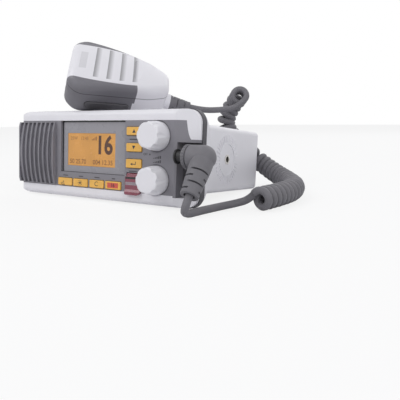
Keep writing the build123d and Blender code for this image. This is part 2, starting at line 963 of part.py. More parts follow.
with BuildPart() as speaker:
    speaker_front = panel_wall + cloth_wall
    cone_edge = speaker_radius - 2.0
    with BuildSketch(level(0)):
        with BuildLine():
            Polyline(
                (speaker_x, speaker_front + cone_depth),
                (speaker_x, speaker_front + speaker_depth),
                (speaker_x + magnet_radius, speaker_front + speaker_depth),
                (speaker_x + magnet_radius, speaker_front + speaker_depth - magnet_depth),
                (speaker_x + speaker_radius - 1.5, speaker_front + speaker_flange),
                (speaker_x + speaker_radius, speaker_front + speaker_flange),
                (speaker_x + speaker_radius, speaker_front),
                (speaker_x + cone_edge, speaker_front),
                (speaker_x + cone_edge - 1.0, speaker_front + speaker_flange / 2),
                (speaker_x + magnet_radius / 2, speaker_front + cone_depth),
                close=True,
            )
        make_face()
    revolve(axis=Axis((speaker_x, 0, 0), (0, 1, 0)))
speaker.part.label = "speaker"

# ------------------------------------------------------------------ gasket
with BuildPart() as gasket:
    with BuildSketch(across(gasket_rear)):
        RectangleRounded(
            front_width + 2 * gasket_proud,
            front_height + 2 * gasket_proud,
            front_corner + gasket_proud,
        )
        draw_box(works_left, works_right, -works_height / 2, works_height / 2, works_corner, Mode.SUBTRACT)
        with GridLocations(2 * screw_x, 2 * screw_z, 2, 2):
            Circle(screw_hole, mode=Mode.SUBTRACT)
    extrude(amount=gasket_wall)
gasket.part.label = "gasket"

# ------------------------------------------------------------------ chassis
tooth_length = ratchet_radius - ratchet_inner + ratchet_tooth / 2
with BuildPart() as chassis:
    with BuildSketch(across(gasket_rear + flange_wall)):
        RectangleRounded(
            front_width - 2 * flange_inset,
            front_height - 2 * flange_inset,
            front_corner - flange_inset,
        )
    extrude(amount=flange_wall)
    # Sloped shoulder from the flange down to the body.
    with BuildSketch(across(gasket_rear + flange_wall)):
        RectangleRounded(
            front_width - 2 * flange_inset,
            front_height - 2 * flange_inset,
            front_corner - flange_inset,
        )
    with BuildSketch(across(chassis_front)):
        with Locations((0, chassis_middle_z)):
            RectangleRounded(chassis_width, chassis_top - chassis_bottom, chassis_corner)
    loft()
    with BuildSketch(across(chassis_rear)):
        with Locations((0, chassis_middle_z)):
            RectangleRounded(chassis_width, chassis_top - chassis_bottom, chassis_corner)
    extrude(amount=chassis_rear - chassis_front)
    fillet(chassis.faces().sort_by(Axis.Y)[-1].edges(), chassis_rear_round)
    # Hollow for the works, and the way in from the front.
    with BuildSketch(across(cavity_rear)):
        with Locations((0, chassis_middle_z)):
            RectangleRounded(
                chassis_width - 2 * chassis_wall,
                chassis_top - chassis_bottom - 2 * chassis_wall,
                chassis_corner - chassis_wall,
            )
    extrude(amount=cavity_rear - cavity_front, mode=Mode.SUBTRACT)
    with BuildSketch(across(cavity_front)):
        draw_works_opening()
    extrude(amount=cavity_front - gasket_rear, mode=Mode.SUBTRACT)
    # Cooling grooves down the rear wall.
    with BuildSketch(across(chassis_rear)):
        for i in range(fin_groove_count):
            with Locations((fin_left + fin_groove_width / 2 + i * fin_groove_pitch, chassis_middle_z)):
                Rectangle(fin_groove_width, chassis_top - chassis_bottom - 2 * fin_end)
    extrude(amount=fin_groove_depth, mode=Mode.SUBTRACT)
    # Posts for the main board.
    with BuildSketch(level(chassis_floor)):
        with Locations((0, board_post_middle)):
            with GridLocations(2 * board_post_x, board_post_rear - board_post_front, 2, 2):
                Circle(board_post_radius)
    extrude(amount=board_post_height)
    with BuildSketch(level(main_board_bottom)):
        with Locations((0, board_post_middle)):
            with GridLocations(2 * board_post_x, board_post_rear - board_post_front, 2, 2):
                Circle(board_screw_radius)
    extrude(amount=-board_screw_length + main_board_wall, mode=Mode.SUBTRACT)
    # Counterbored holes for the screws that hold the front.
    with BuildSketch(across(chassis_front)):
        with GridLocations(2 * screw_x, 2 * screw_z, 2, 2):
            Circle(screw_head_radius + key_gap)
    extrude(amount=chassis_front - screw_seat, mode=Mode.SUBTRACT)
    with BuildSketch(across(screw_seat)):
        with GridLocations(2 * screw_x, 2 * screw_z, 2, 2):
            Circle(screw_hole)
    extrude(amount=screw_seat - gasket_rear, mode=Mode.SUBTRACT)
    # Bracket mounts: a boss inside, a ring of teeth outside, and the insert's pocket.
    for side in (1, -1):
        wall = Plane(origin=(side * chassis_half, bracket_y, bracket_z), x_dir=(0, side, 0), z_dir=(side, 0, 0))
        with BuildSketch(wall):
            Circle(insert_boss)
        extrude(amount=-insert_boss_length)
        with BuildSketch(wall):
            with PolarLocations(ratchet_radius - tooth_length / 2, ratchet_teeth):
                Rectangle(tooth_length, ratchet_tooth)
            Circle(ratchet_inner)
            Circle(ratchet_inner - ratchet_tooth, mode=Mode.SUBTRACT)
        extrude(amount=ratchet_height)
        with BuildSketch(wall):
            RegularPolygon(insert_radius, 6)
        extrude(amount=insert_proud - insert_length, mode=Mode.SUBTRACT)
    # Holes for the antenna socket and the glands.
    with BuildSketch(across(chassis_rear)):
        with Locations((antenna_x, antenna_z)):
            Circle(antenna_barrel)
        with Locations((power_gland_x, gland_z), (accessory_gland_x, gland_z)):
            Circle(gland_radius)
    extrude(amount=rear_wall, mode=Mode.SUBTRACT)
    with BuildSketch(across(chassis_rear)):
        with Locations((antenna_x, antenna_z)):
            with GridLocations(2 * antenna_screw, 2 * antenna_screw, 2, 2):
                Circle(antenna_screw_radius)
    extrude(amount=rear_wall - 1, mode=Mode.SUBTRACT)
chassis.part.label = "chassis"


def make_insert(name, side):
    """Threaded metal insert in the chassis's side, for the bracket's knob."""
    outer = side * (chassis_half + insert_proud)
    mouth = Plane(origin=(outer, bracket_y, bracket_z), x_dir=(0, side, 0), z_dir=(side, 0, 0))
    with BuildPart() as insert:
        with BuildSketch(mouth):
            RegularPolygon(insert_radius, 6)
            Circle(insert_bore, mode=Mode.SUBTRACT)
        extrude(amount=-insert_length)
    insert.part.label = name
    return insert.part


def make_screws(name, seat, places, shank, length, head_radius, head):
    """Group of identical pan-head screws: seat is the plane their heads sit on, shanks into it."""
    seat_axis = Axis(seat.origin, seat.z_dir)
    with BuildPart() as screws:
        with BuildSketch(seat):
            with Locations(*places):
                Circle(head_radius)
        extrude(amount=head)
        fillet(screws.faces().sort_by(seat_axis)[-1 : -1 - len(places) : -1].edges(), head / 3)
        with BuildSketch(seat):
            with Locations(*places):
                Circle(shank)
        extrude(amount=-length)
    screws.part.label = name
    return screws.part


inserts = [make_insert("bracket_insert_right", 1), make_insert("bracket_insert_left", -1)]

# The front's screws face forward from the shoulder, the others down or forward from the rear.
bezel_screws = make_screws(
    "bezel_screws",
    across(screw_seat).rotated((180, 0, 0)),
    [(x, z) for x in (-screw_x, screw_x) for z in (-screw_z, screw_z)],
    screw_radius,
    screw_seat - front_depth + screw_bite - seat_gap,
    screw_head_radius,
    screw_head,
)
board_screws = make_screws(
    "board_screws",
    level(main_board_top),
    [(x, y) for x in (-board_post_x, board_post_x) for y in (board_post_front, board_post_rear)],
    board_screw_radius,
    board_screw_length - seat_gap,
    board_screw_head,
    board_screw_head_height,
)
antenna_screws = make_screws(
    "antenna_screws",
    Plane(origin=(antenna_x, chassis_rear + antenna_flange_wall, antenna_z), x_dir=(1, 0, 0), z_dir=(0, 1, 0)),
    [(x, z) for x in (-antenna_screw, antenna_screw) for z in (-antenna_screw, antenna_screw)],
    antenna_screw_radius,
    antenna_screw_length,
    antenna_screw_head,
    antenna_screw_head_height,
)

# ------------------------------------------------------------------ works in the chassis
with BuildPart() as main_board:
    with BuildSketch(level(main_board_bottom)):
        draw_box(-main_board_half, main_board_half, main_board_front, main_board_rear, board_wall)
        with Locations((0, board_post_middle)):
            with GridLocations(2 * board_post_x, board_post_rear - board_post_front, 2, 2):
                Circle(board_screw_radius, mode=Mode.SUBTRACT)
    extrude(amount=main_board_wall)
main_board.part.label = "main_board"

with BuildPart() as shield_can:
    with BuildSketch(level(main_board_top)):
        with Locations((shield_x, shield_y)):
            Rectangle(shield_width, shield_depth)
    extrude(amount=shield_height)
    fillet(shield_can.edges().filter_by(Axis.Z), 2 * shield_wall)
    with BuildSketch(level(main_board_top)):
        with Locations((shield_x, shield_y)):
            RectangleRounded(shield_width - 2 * shield_wall, shield_depth - 2 * shield_wall, shield_wall)
    extrude(amount=shield_height - shield_wall, mode=Mode.SUBTRACT)
shield_can.part.label = "shield_can"

with BuildPart() as rf_power_module:
    with BuildSketch(across(cavity_rear)):
        with Locations((module_x, module_z)):
            RectangleRounded(module_width, module_height, key_corner)
    extrude(amount=module_depth)
rf_power_module.part.label = "rf_power_module"

# ------------------------------------------------------------------ sockets and glands in the rear
with BuildPart() as antenna_socket:
    antenna_mouth = Plane(origin=(antenna_x, rear_end, antenna_z), x_dir=(1, 0, 0), z_dir=(0, 1, 0))
    flange_rear = Plane(
        origin=(antenna_x, chassis_rear + antenna_flange_wall, antenna_z), x_dir=(1, 0, 0), z_dir=(0, 1, 0)
    )
    with BuildSketch(flange_rear):
        RectangleRounded(2 * antenna_flange, 2 * antenna_flange, antenna_flange_wall)
        with GridLocations(2 * antenna_screw, 2 * antenna_screw, 2, 2):
            Circle(antenna_screw_radius, mode=Mode.SUBTRACT)
    extrude(amount=-antenna_flange_wall)
    with BuildSketch(flange_rear):
        Circle(antenna_radius)
    extrude(amount=antenna_length)
    with BuildSketch(flange_rear):
        Circle(antenna_barrel)
    extrude(amount=-antenna_flange_wall - antenna_barrel_length)
    with BuildSketch(antenna_mouth):
        Circle(antenna_bore)
    extrude(amount=-antenna_bore_length, mode=Mode.SUBTRACT)
antenna_socket.part.label = "antenna_socket"


def make_gland(name, x):
    """Rubber gland in the rear wall that a lead passes through, with a lip on each side."""
    with BuildPart() as gland:
        with BuildSketch(level(gland_z)):
            with BuildLine():
                Polyline(
                    (x + gland_bore, cavity_rear - gland_lip_wall),
                    (x + gland_radius + gland_lip / 2, cavity_rear - gland_lip_wall),
                    (x + gland_radius + gland_lip / 2, cavity_rear),
                    (x + gland_radius, cavity_rear),
                    (x + gland_radius, chassis_rear),
                    (x + gland_radius + gland_lip, chassis_rear),
                    (x + gland_radius + gland_lip, chassis_rear + gland_lip_wall),
                    (x + gland_bore + gland_lip, chassis_rear + gland_lip_wall),
                    (x + gland_bore + gland_lip / 2, chassis_rear + gland_lip_wall + gland_proud),
                    (x + gland_bore, chassis_rear + gland_lip_wall + gland_proud),
                    close=True,
                )
            make_face()
        revolve(axis=Axis((x, 0, gland_z), (0, 1, 0)))
    gland.part.label = name
    return gland.part


glands = [make_gland("power_gland", power_gland_x), make_gland("accessory_gland", accessory_gland_x)]

# ------------------------------------------------------------------ microphone socket and plug
plug_axis = Axis((0, plug_y, plug_z), (1, 0, 0))


def draw_turned(*points):
    """Half section of a piece turned about the plug's axis, as (x, radius) points."""
    with BuildLine() as edge:
        Polyline(*[(x, plug_z + radius) for x, radius in points], close=True)
    make_face(edge.edges())


with BuildPart() as mic_socket:
    with BuildSketch(across(plug_y)):
        draw_turned(
            (socket_corner_x, 0),
            (socket_corner_x, socket_radius + 1.2),
            (socket_corner_x + 1.2, socket_radius + 1.2),
            (socket_corner_x + 1.6, socket_radius),
            (socket_end, socket_radius),
            (socket_end, 0),
        )
    revolve(axis=plug_axis)
    with BuildSketch(along(socket_corner_x)):
        with Locations((socket_wire_y, plug_z)):
            Circle(socket_wire_radius)
    extrude(amount=-socket_wire_length)
mic_socket.part.label = "mic_socket"

with BuildPart() as plug_contacts:
    with BuildSketch(along(socket_end)):
        with Locations((plug_y, plug_z)):
            Circle(ring_bore - plug_fit)
    extrude(amount=contact_block_length)
    with BuildSketch(along(socket_end + contact_block_length)):
        with Locations((plug_y, plug_z)):
            with PolarLocations(ring_bore / 2, contact_count):
                Circle(contact_radius)
    extrude(amount=contact_length)
plug_contacts.part.label = "plug_contacts"

with BuildPart() as plug_coupling_ring:
    with BuildSketch(across(plug_y)):
        draw_turned(
            (ring_left, ring_bore),
            (ring_left, ring_radius - 0.8),
            (ring_left + 0.8, ring_radius),
            (ring_right - 0.5, ring_radius),
            (ring_right, ring_radius - 0.5),
            (ring_right, ring_bore),
        )
    revolve(axis=plug_axis)
    with BuildSketch(along(ring_left)):
        with Locations((plug_y, plug_z)):
            with PolarLocations(ring_radius, ring_grip_count):
                Circle(ring_grip)
    extrude(amount=ring_right - ring_left, mode=Mode.SUBTRACT)
plug_coupling_ring.part.label = "plug_coupling_ring"

drop = math.radians(elbow_drop)
drop_dir = Vector(0, -math.sin(drop), -math.cos(drop))
elbow_middle = Vector(elbow_x, plug_y, plug_z)


def down_the_relief(distance):
    """Plane across the plug's strain relief, this far from the middle of the elbow."""
    return Plane(origin=elbow_middle + drop_dir * distance, x_dir=(1, 0, 0), z_dir=drop_dir)


elbow_left = ring_right + ring_play
with BuildPart() as plug_elbow:
    with BuildSketch(across(plug_y)):
        draw_turned(
            (elbow_left, 0),
            (elbow_left, elbow_radius - 0.8),
            (elbow_left + 0.8, elbow_radius),
            (elbow_x, elbow_radius),
            (elbow_x, 0),
        )
    revolve(axis=plug_axis)
    with Locations(elbow_middle):
        Sphere(elbow_radius)
    with BuildSketch(down_the_relief(0)):
        Circle(relief_radius)
    extrude(amount=relief_start)
    with BuildSketch(along(elbow_left)):
        with Locations((plug_y, plug_z)):
            Circle(ring_bore - plug_fit)
    extrude(amount=socket_end + contact_block_length + contact_length - elbow_left, mode=Mode.SUBTRACT)
plug_elbow.part.label = "plug_elbow"


def cut_relief_slots(start, length, rows, radius, plane_at):
    """Pairs of slots across a strain relief, each row turned a quarter from the last."""
    pitch = length / (rows + 0.6)
    for row in range(rows):
        turn = 90 * row + 45
        with BuildSketch(plane_at(start + pitch * (row + 0.8))) as slots:
            with PolarLocations(radius, 2, start_angle=turn):
                Rectangle(2 * radius - 2 * relief_core, 4 * radius)
        extrude(slots.sketch, amount=relief_slot, mode=Mode.SUBTRACT)


relief_taper = math.degrees(math.atan2(relief_radius - relief_tip, relief_length))
with BuildPart() as plug_strain_relief:
    with BuildSketch(down_the_relief(relief_start)):
        Circle(relief_radius)
    extrude(amount=relief_length, taper=relief_taper)
    cut_relief_slots(relief_start, relief_length, relief_rows, relief_radius, down_the_relief)
    with BuildSketch(down_the_relief(relief_start + relief_length)):
        Circle(cord_radius + relief_mouth)
    extrude(amount=-relief_mouth_depth, mode=Mode.SUBTRACT)
plug_strain_relief.part.label = "plug_strain_relief"

# ------------------------------------------------------------------ microphone
# Drawn lying on its back: x along it to the cord end, y across it, z out of its face.
mic_half = mic_length / 2
mic_side = mic_width / 2


def draw_mic_outline(inset=0.0):
    """Outline of the microphone: broad round top, sides that close in to the cord end."""
    corners = [
        (-mic_half + inset, mic_head, mic_head_round),
        (-mic_half + mic_shoulder, mic_side - inset, mic_shoulder_round),
        (mic_half - mic_taper_end, mic_waist - inset, mic_waist_round),
        (mic_half - inset, mic_tail, mic_tail_round),
    ]
    upper = [(x, y) for x, y, radius in corners]
    lower = [(x, -y) for x, y in reversed(upper)]
    with BuildSketch(mode=Mode.PRIVATE) as outline:
        with BuildLine():
            Polyline(*upper, *lower, close=True)
        make_face()
        for x, y, radius in corners:
            at_corner = outline.vertices().filter_by(lambda v: abs(v.X - x) < 0.01 and abs(abs(v.Y) - y) < 0.01)
            fillet(at_corner, radius - inset)
    add(outline.sketch)


def make_mic_front(inset):
    """Front half of the microphone, bowed both ways and rounded over, set in by a wall."""
    top = mic_front_depth - inset
    with BuildPart() as form:
        with BuildSketch(level(0)):
            draw_mic_outline(inset)
        extrude(amount=top)
        with BuildSketch(along(0)):
            with Locations((0, top - mic_crown)):
                Circle(mic_crown)
        revolve(axis=Axis((0, 0, top - mic_crown_long), (0, 1, 0)), mode=Mode.INTERSECT)
        rim = form.faces().filter_by(GeomType.TORUS).sort_by(Axis.Z)[-1].edges()
        fillet(rim, mic_edge_round - inset)
    return form.part


def make_mic_rear(inset):
    """Rear half of the microphone, flat at the back and rounded over, set in by a wall."""
    with BuildPart() as form:
        with BuildSketch(level(0)):
            draw_mic_outline(inset)
        extrude(amount=-mic_rear_depth + inset)
        fillet(form.faces().sort_by(Axis.Z)[0].edges(), mic_back_round - inset)
    return form.part


mic_front = make_mic_front(0)
mic_front_hollow = make_mic_front(mic_wall)
mic_rear = make_mic_rear(0)
mic_rear_hollow = make_mic_rear(mic_wall)


def draw_grip_zone(side):
    """Area of the face that a side grip takes, beyond a line that runs along inside the edge."""
    slope = (mic_side - mic_waist) / (mic_length - mic_shoulder - mic_taper_end)
    start = (-mic_half + mic_shoulder / 2, mic_side - grip_width)
    end = (grip_end, mic_side - grip_width - slope * (grip_end + mic_half - mic_shoulder))
    with BuildLine() as edge:
        ThreePointArc(
            (-mic_half - 1, side * (start[1] - grip_width)),
            (start[0] - 1.0, side * (start[1] - 1.5)),
            (start[0] + 4.0, side * start[1]),
        )
        Polyline(
            (start[0] + 4.0, side * start[1]),
            (end[0], side * end[1]),
            (end[0] + grip_cut, side * mic_width),
            (-mic_half - 1, side * mic_width),
            (-mic_half - 1, side * (start[1] - grip_width)),
        )
    make_face(edge.edges())


def make_grip(name, side):
    """Soft grip along one side of the front shell, flush with it."""
    with BuildPart() as grip:
        add(mic_front)
        with BuildSketch(level(0)):
            draw_grip_zone(side)
        extrude(amount=mic_front_depth, mode=Mode.INTERSECT)
        add(mic_front_hollow, mode=Mode.SUBTRACT)
    grip.part.label = name
    return grip.part


grips = [make_grip("mic_grip_upper", 1), make_grip("mic_grip_lower", -1)]


def face_height(x):
    """Height of the microphone's face on its middle line."""
    return mic_front_depth - mic_crown_long + math.sqrt(mic_crown_long**2 - x**2)


capsule_x = mic_slot_first
capsule_top = face_height(capsule_x) - mic_wall - capsule_fit
with BuildPart() as mic_front_shell:
    add(mic_front)
    add(mic_front_hollow, mode=Mode.SUBTRACT)
    add(grips, mode=Mode.SUBTRACT)
    # Ring that holds the capsule, and posts for the screws.
    with BuildSketch(level(capsule_top - capsule_length)):
        with Locations((capsule_x, mic_hole_v)):
            Circle(capsule_radius + capsule_fit + capsule_ring)
    extrude(amount=capsule_length + capsule_fit + mic_wall / 2)
    with BuildSketch(level(capsule_top - capsule_length)):
        with Locations((capsule_x, mic_hole_v)):
            Circle(capsule_radius + capsule_fit)
    extrude(amount=capsule_length, mode=Mode.SUBTRACT)
    with BuildSketch(level(0)):
        with Locations(*mic_screw_places):
            Circle(mic_screw_post)
    extrude(amount=mic_front_depth - 2 * mic_wall)
    with BuildSketch(level(0)):
        with Locations(*mic_screw_places):
            Circle(mic_screw_radius)
    extrude(amount=mic_screw_bite + seat_gap, mode=Mode.SUBTRACT)
    # Wide channels across the face, deep at one side and running out at the other.
    for i in range(mic_slot_count):
        channel_x = mic_slot_first + i * mic_slot_pitch
        floor = Plane(
            origin=(channel_x, 0, face_height(channel_x) - mic_slot_depth / 2 - 0.1),
            x_dir=(math.cos(math.radians(mic_slot_slope)), 0, math.sin(math.radians(mic_slot_slope))),
            z_dir=(-math.sin(math.radians(mic_slot_slope)), 0, math.cos(math.radians(mic_slot_slope))),
        )
        with BuildSketch(floor):
            RectangleRounded(mic_slot_width, mic_slot_length - i * mic_slot_shorter, mic_slot_width / 2 - 0.5)
        extrude(amount=2 * mic_slot_depth, mode=Mode.SUBTRACT)
    with BuildSketch(level(0)):
        with Locations((capsule_x, mic_hole_v)):
            Circle(mic_hole)
    extrude(amount=mic_front_depth, mode=Mode.SUBTRACT)
mic_front_shell.part.label = "mic_front_shell"

# The push-to-talk bar lies along the lower side, which slopes in to the cord end.
side_run = mic_length - mic_shoulder - mic_taper_end
side_angle = math.atan2(mic_side - mic_waist, side_run)
side_middle = Vector(
    (-mic_half + mic_shoulder + mic_half - mic_taper_end) / 2, -(mic_side + mic_waist) / 2, ptt_w
)
side_dir = Vector(math.cos(side_angle), math.sin(side_angle), 0)
side_out = Vector(math.sin(side_angle), -math.cos(side_angle), 0)


def beside_mic(distance):
    """Plane parallel to the lower side of the microphone, this far out from its surface."""
    return Plane(
        origin=side_middle + side_dir * ptt_along + side_out * distance,
        x_dir=side_dir,
        z_dir=side_out,
    )


with BuildPart() as mic_rear_shell:
    add(mic_rear)
    # Collar for the cord's strain relief, at the cord end.
    with BuildSketch(along(mic_half - collar_root)):
        with Locations((0, mic_relief_w)):
            Circle(collar_radius)
    extrude(amount=collar_root + collar_length, taper=3)
    with BuildSketch(level(0)):
        with Locations((0, 0)):
            Rectangle(mic_length + 0.2, mic_width)
    extrude(amount=mic_front_depth, mode=Mode.SUBTRACT)
    add(mic_rear_hollow, mode=Mode.SUBTRACT)
    with BuildSketch(along(mic_half - collar_root)):
        with Locations((0, mic_relief_w)):
            Circle(cord_radius + seat_gap)
    extrude(amount=2 * collar_length + collar_root, both=True, mode=Mode.SUBTRACT)
    # Posts for the board and the screws.
    with BuildSketch(level(-mic_rear_depth + mic_wall / 2)):
        with Locations(*mic_posts):
            Circle(mic_post_radius)
    extrude(amount=mic_rear_depth - mic_wall / 2 + mic_board_w)
    with BuildSketch(level(-mic_rear_depth + mic_wall / 2)):
        with Locations(*mic_screw_places):
            Circle(mic_screw_post)
    extrude(amount=mic_rear_depth - mic_wall / 2)
    with BuildSketch(level(-mic_rear_depth)):
        with Locations(*mic_screw_places):
            Circle(mic_screw_head + ptt_gap)
    extrude(amount=mic_screw_head_height + ptt_gap, mode=Mode.SUBTRACT)
    with BuildSketch(level(-mic_rear_depth)):
        with Locations(*mic_screw_places):
            Circle(mic_screw_radius + seat_gap)
    extrude(amount=mic_rear_depth, mode=Mode.SUBTRACT)
    # Window for the push-to-talk bar.
    with BuildSketch(beside_mic(1)):
        SlotOverall(ptt_length + 2 * ptt_gap, ptt_width + 2 * ptt_gap)
    extrude(amount=-mic_wall - 2, mode=Mode.SUBTRACT)
mic_rear_shell.part.label = "mic_rear_shell"

with BuildPart() as ptt_button:
    with BuildSketch(beside_mic(-mic_wall - seat_gap)):
        SlotOverall(ptt_length, ptt_width)
    extrude(amount=mic_wall + seat_gap + ptt_proud)
    fillet(ptt_button.faces().sort_by(Axis((0, 0, 0), side_out))[-1].edges(), ptt_proud / 2)
    with BuildSketch(beside_mic(-mic_wall - seat_gap)):
        SlotOverall(ptt_length + 2 * ptt_flange, ptt_width + 2 * ptt_flange)
    extrude(amount=-ptt_flange_wall)
ptt_button.part.label = "ptt_button"

with BuildPart() as ptt_switch:
    with BuildSketch(level(mic_board_w)):
        switch_x = side_middle.X + ptt_along
        draw_box(
            switch_x - switch_width / 2,
            switch_x + switch_width / 2,
            -mic_board_half - switch_reach,
            -mic_board_half + 1.0,
        )
    extrude(amount=-switch_height)
ptt_switch.part.label = "ptt_switch"

with BuildPart() as mic_board:
    with BuildSketch(level(mic_board_w)):
        draw_box(mic_board_left, mic_board_right, -mic_board_half, mic_board_half, board_wall)
    extrude(amount=mic_board_wall)
mic_board.part.label = "mic_board"

with BuildPart() as mic_capsule:
    with BuildSketch(level(capsule_top - capsule_length)):
        with Locations((capsule_x, mic_hole_v)):
            Circle(capsule_radius)
    extrude(amount=capsule_length - capsule_fit)
mic_capsule.part.label = "mic_capsule"

with BuildPart() as mic_hanger_stud:
    with BuildSketch(level(-mic_rear_depth)):
        with Locations((stud_u, 0)):
            Circle(stud_radius)
    extrude(amount=-stud_neck)
    with BuildSketch(level(-mic_rear_depth - stud_neck)):
        with Locations((stud_u, 0)):
            Circle(stud_head)
    extrude(amount=-stud_head_wall)
    fillet(mic_hanger_stud.faces().sort_by(Axis.Z)[0].edges(), stud_head_wall / 2)
mic_hanger_stud.part.label = "mic_hanger_stud"

mic_screws = make_screws(
    "mic_screws",
    Plane(origin=(0, 0, -mic_rear_depth + mic_screw_head_height), x_dir=(1, 0, 0), z_dir=(0, 0, -1)),
    [(x, -y) for x, y in mic_screw_places],
    mic_screw_radius,
    mic_rear_depth - mic_screw_head_height + mic_screw_bite,
    mic_screw_head,
    mic_screw_head_height,
)


def along_the_cord(distance):
    """Plane across the microphone's strain relief, this far from where it starts."""
    return Plane(
        origin=(mic_half + collar_length + distance, 0, mic_relief_w), x_dir=(0, 1, 0), z_dir=(1, 0, 0)
    )


with BuildPart() as mic_strain_relief:
    with BuildSketch(along_the_cord(0)):
        Circle(mic_relief_radius)
    extrude(
        amount=mic_relief_length,
        taper=math.degrees(math.atan2(mic_relief_radius - mic_relief_tip, mic_relief_length)),
    )
    cut_relief_slots(0, mic_relief_length, mic_relief_rows, mic_relief_radius, along_the_cord)
mic_strain_relief.part.label = "mic_strain_relief"

# How the microphone rests: with its lower side on the rim of the front's gasket.
turn, dip, back_lean = (math.radians(angle) for angle in (mic_turn, mic_dip, mic_lean))
mic_along = Vector(math.cos(dip) * math.cos(turn), math.cos(dip) * math.sin(turn), -math.sin(dip))
mic_out = Vector(math.sin(turn), -math.cos(turn), 0)
mic_face = mic_out * math.cos(back_lean) + mic_out.cross(mic_along) * math.sin(back_lean)
mic_tilt = Plane(origin=(0, 0, 0), x_dir=mic_along, z_dir=mic_face).location
mic_low = min(form.moved(mic_tilt).bounding_box().min.Z for form in (mic_front, mic_rear))
mic_height = front_top + gasket_proud + mic_gap - mic_low
mic_rest = Plane(origin=(mic_x, mic_y, mic_height), x_dir=mic_along, z_dir=mic_face).location


# ------------------------------------------------------------------ cord
def lay_tube(name, points, radius):
    """Round tube along straight runs joined by tangent bends as wide as the runs allow."""
    points = [Vector(*point) for point in points]
    radii = []
    for before, corner, after in zip(points, points[1:], points[2:]):
        turned = math.radians((corner - before).get_angle(after - corner))
        shorter = min((corner - before).length, (after - corner).length)
        radii.append(cord_reach * shorter / math.tan(turned / 2))
    with BuildPart() as tube:
        with BuildLine() as route:
            FilletPolyline(*points, radius=radii)
        with BuildSketch(Plane(origin=points[0], z_dir=points[1] - points[0])):
            Circle(radius)
        sweep()
    tube.part.label = name
    length = sum(edge.length for edge in route.edges())
    print(name, "length", round(length, 1), "bend radii", [round(r, 1) for r in radii])
    print(name, "volume over section times length", tube.part.volume / (math.pi * radius**2 * length))
    return tube.part


def lead_start(place, mouth, straight):
    """First two points of a lead: the floor of its strain relief's mouth and a run out of it."""
    return [(place * Location((0, 0, reach))).position for reach in (-mouth, straight)]


plug_relief_end = stance * down_the_relief(relief_start + relief_length).location
mic_relief_end = stance * mic_rest * along_the_cord(mic_relief_length).location
cords = [
    lay_tube(
        "cord_plug_lead",
        [*lead_start(plug_relief_end, relief_mouth_depth, cord_from_plug), *plug_lead_route],
        cord_radius,
    ),
    lay_tube("cord_coil", coil_route, coil_radius),
    lay_tube(
        "cord_mic_lead",
        [*lead_start(mic_relief_end, 0, cord_from_mic), *mic_lead_route],
        cord_radius,
    ),
]

# ------------------------------------------------------------------ writing the pieces
radio_pieces = [
    front_bezel.part,
    front_panel.part,
    display_window.part,
    lcd_module.part,
    *keys.values(),
    distress_button,
    keypad_mat.part,
    distress_cover.part,
    distress_hinge_pin.part,
    *knobs.values(),
    *controls.values(),
    *shafts.values(),
    front_board.part,
    speaker_cloth.part,
    speaker.part,
    gasket.part,
    chassis.part,
    *inserts,
    bezel_screws,
    board_screws,
    antenna_screws,
    main_board.part,
    shield_can.part,
    rf_power_module.part,
    antenna_socket.part,
    *glands,
    mic_socket.part,
    plug_contacts.part,
    plug_coupling_ring.part,
    plug_elbow.part,
    plug_strain_relief.part,
]
mic_pieces = [
    mic_front_shell.part,
    *grips,
    mic_rear_shell.part,
    ptt_button.part,
    ptt_switch.part,
    mic_board.part,
    mic_capsule.part,
    mic_hanger_stud.part,
    mic_screws,
    mic_strain_relief.part,
]
for piece in radio_pieces:
    export_step(piece.moved(stance), f"parts/{piece.label}.step")
for piece in mic_pieces:
    export_step(piece.moved(stance * mic_rest), f"parts/{piece.label}.step")
for piece in cords:
    export_step(piece, f"parts/{piece.label}.step")
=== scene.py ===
import sys

import enum
import logging
import math
from dataclasses import dataclass, field

import bpy
from mathutils import Matrix, Vector


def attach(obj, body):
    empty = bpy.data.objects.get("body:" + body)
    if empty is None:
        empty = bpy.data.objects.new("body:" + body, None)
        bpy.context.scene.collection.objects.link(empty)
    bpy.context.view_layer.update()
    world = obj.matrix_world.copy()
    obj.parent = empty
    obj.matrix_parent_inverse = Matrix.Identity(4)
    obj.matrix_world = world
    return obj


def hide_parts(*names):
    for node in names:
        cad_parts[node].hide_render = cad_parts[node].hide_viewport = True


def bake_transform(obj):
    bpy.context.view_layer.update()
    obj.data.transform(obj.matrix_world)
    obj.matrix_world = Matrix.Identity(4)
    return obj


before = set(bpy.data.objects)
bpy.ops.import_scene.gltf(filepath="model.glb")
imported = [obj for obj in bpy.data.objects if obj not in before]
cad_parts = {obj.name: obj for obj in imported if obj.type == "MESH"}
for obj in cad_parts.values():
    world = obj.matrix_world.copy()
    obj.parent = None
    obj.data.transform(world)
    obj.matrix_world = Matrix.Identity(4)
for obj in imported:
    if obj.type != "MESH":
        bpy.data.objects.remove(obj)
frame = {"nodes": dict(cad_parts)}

# Dresses the marine radio's solids: finishes for every piece, the lit display and its figures,
# the marks on keys and fascia, the coiled cord, and a plain studio. Lengths are in metres, apart
# from those that a docstring gives in millimetres.

log = logging.getLogger("marine_radio")
MM = 0.001
UPRIGHT = math.pi / 2  # turns what lies flat to face the front
MERGED = 1e-6  # corners closer than this are one
Span = tuple[float, float]
Point = tuple[float, float, float]
Colour = tuple[float, float, float]
Edges = tuple[float, float, float, float]  # left, right, bottom and top
Piece = bpy.types.Object
Material = bpy.types.Material
Socket = bpy.types.NodeSocket
Value = float | bpy.types.NodeSocket
Inputs = dict[str | int, object]
Dressings = list[tuple["Finish", tuple[str, ...]]]  # each finish, and the solids that take it


